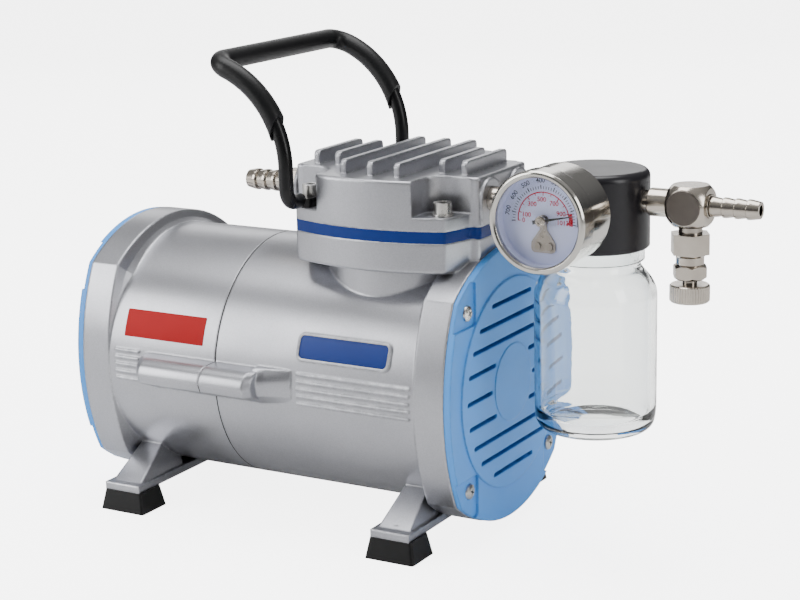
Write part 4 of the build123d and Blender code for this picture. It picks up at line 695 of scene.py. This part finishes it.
bm = bmesh.new()
FULL_INNER = 1013
for reading in [*range(0, 1001, 100), FULL_INNER]:
    tick(bm, scale_angle(reading / FULL_INNER), 0.545 if reading % 200 else 0.565, 0.62, 0.36)
printed_arc(bm, SCALE_START, SCALE_END, 0.608, 0.634)
printed_arc(bm, scale_angle(900 / FULL_INNER), SCALE_END - 3.0, 0.62, 0.705)
for reading, degrees, share in ((0, 184.5, 0.49), (100, 167.5, 0.43), (300, 129.5, 0.44), (500, 96.0, 0.46),
                                (700, 57.0, 0.46), (900, 22.0, 0.45), (1013, -4.0, 0.46)):
    printed_number(bm, str(reading), degrees, share, 2.1, False)
finish_piece("dial_inner_scale", bm, red_ink, "casing")


# Turned cap over the pointer's hub

cap_place = Matrix.Translation(GAUGE) @ Matrix.Rotation(math.radians(90), 4, "X")
cap_profile = [(2.7, 0.0), (2.7, 2.5), (3.6, 2.5), (3.9, 2.2), (4.0, 1.3), (3.7, 1.1), (3.7, 0.0)]
turned_cap = revolve_profile([Vector(p) * MM for p in cap_profile], cap_place, 48)
finish_piece("pointer_cap", turned_cap, finishes["nickel"], "pointer")


# Floor and studio light

FLOOR_COLOUR = (0.90, 0.90, 0.90, 1)
BACKDROP_GLOW = 5.0            # how bright the floor and the backdrop look straight on
GLOW_THROUGH_GLASS = 1.4
ROOM_LIGHT = 0.42

def make_floor():
    bm = bmesh.new()
    bmesh.ops.create_grid(bm, x_segments=1, y_segments=1, size=12.0)
    mesh = bpy.data.meshes.new("floor")
    bm.to_mesh(mesh)
    bm.free()
    material = bpy.data.materials.new("floor_white")
    material.use_nodes = True
    shader = material.node_tree.nodes["Principled BSDF"]
    shader.inputs["Base Color"].default_value = FLOOR_COLOUR
    shader.inputs["Roughness"].default_value = 0.75
    shader.inputs["Emission Color"].default_value = (1, 1, 1, 1)
    seen = put(material.node_tree, "ShaderNodeLightPath").outputs
    through_glass = math_node(material.node_tree, "MULTIPLY", seen["Is Transmission Ray"], GLOW_THROUGH_GLASS)
    open_view = math_node(material.node_tree, "MULTIPLY", seen["Is Camera Ray"], BACKDROP_GLOW)
    glow = math_node(material.node_tree, "MAXIMUM", open_view, through_glass)
    material.node_tree.links.new(glow, shader.inputs["Emission Strength"])
    mesh.materials.append(material)
    floor = bpy.data.objects.new("floor", mesh)
    bpy.context.scene.collection.objects.link(floor)


def make_light(name, place, aim, size, watts):
    light = bpy.data.lights.new(name, "AREA")
    light.shape = "RECTANGLE"
    light.size, light.size_y = size
    light.energy = watts
    lamp = bpy.data.objects.new(name, light)
    lamp.location = place
    lamp.rotation_euler = (Vector(aim) - Vector(place)).to_track_quat("-Z", "Y").to_euler()
    bpy.context.scene.collection.objects.link(lamp)


def make_surroundings():
    """Grey room, brighter above, so that metal has something to mirror, behind a pale backdrop."""
    world = bpy.data.worlds.new("studio")
    world.use_nodes = True
    tree = world.node_tree
    height = put(tree, "ShaderNodeSeparateXYZ", {0: put(tree, "ShaderNodeTexCoord").outputs["Generated"]})
    ramp = put(tree, "ShaderNodeValToRGB", {0: put(tree, "ShaderNodeMapRange", {
        "Value": height.outputs[2], "From Min": -1.0, "From Max": 1.0}).outputs[0]})
    stops = ramp.color_ramp.elements
    stops[0].position, stops[0].color = 0.45, (0.50, 0.50, 0.50, 1)
    stops[1].position, stops[1].color = 0.95, (1.0, 1.0, 1.0, 1)
    middle = stops.new(0.56)
    middle.color = (0.16, 0.16, 0.17, 1)
    background = tree.nodes["Background"]
    tree.links.new(ramp.outputs[0], background.inputs["Color"])
    background.inputs["Strength"].default_value = ROOM_LIGHT
    backdrop = put(tree, "ShaderNodeBackground", {"Color": (1.0, 1.0, 1.0, 1), "Strength": BACKDROP_GLOW})
    seen = put(tree, "ShaderNodeLightPath").outputs["Is Camera Ray"]
    shown = put(tree, "ShaderNodeMixShader", {0: seen, 1: background.outputs[0], 2: backdrop.outputs[0]})
    tree.links.new(shown.outputs[0], tree.nodes["World Output"].inputs["Surface"])
    bpy.context.scene.world = world


make_floor()
make_surroundings()
make_light("overhead_softbox", (-0.2, 0.1, 1.4), (0, 0, 0.1), (1.3, 0.9), 20)
make_light("left_softbox", (-1.2, -1.2, 0.75), (-0.05, 0, 0.1), (0.7, 1.2), 17)
make_light("back_softbox", (-0.9, 1.5, 0.75), (0, 0, 0.12), (1.6, 0.5), 6)
make_light("right_softbox", (1.5, -0.3, 0.7), (0, 0, 0.1), (0.5, 1.0), 8)
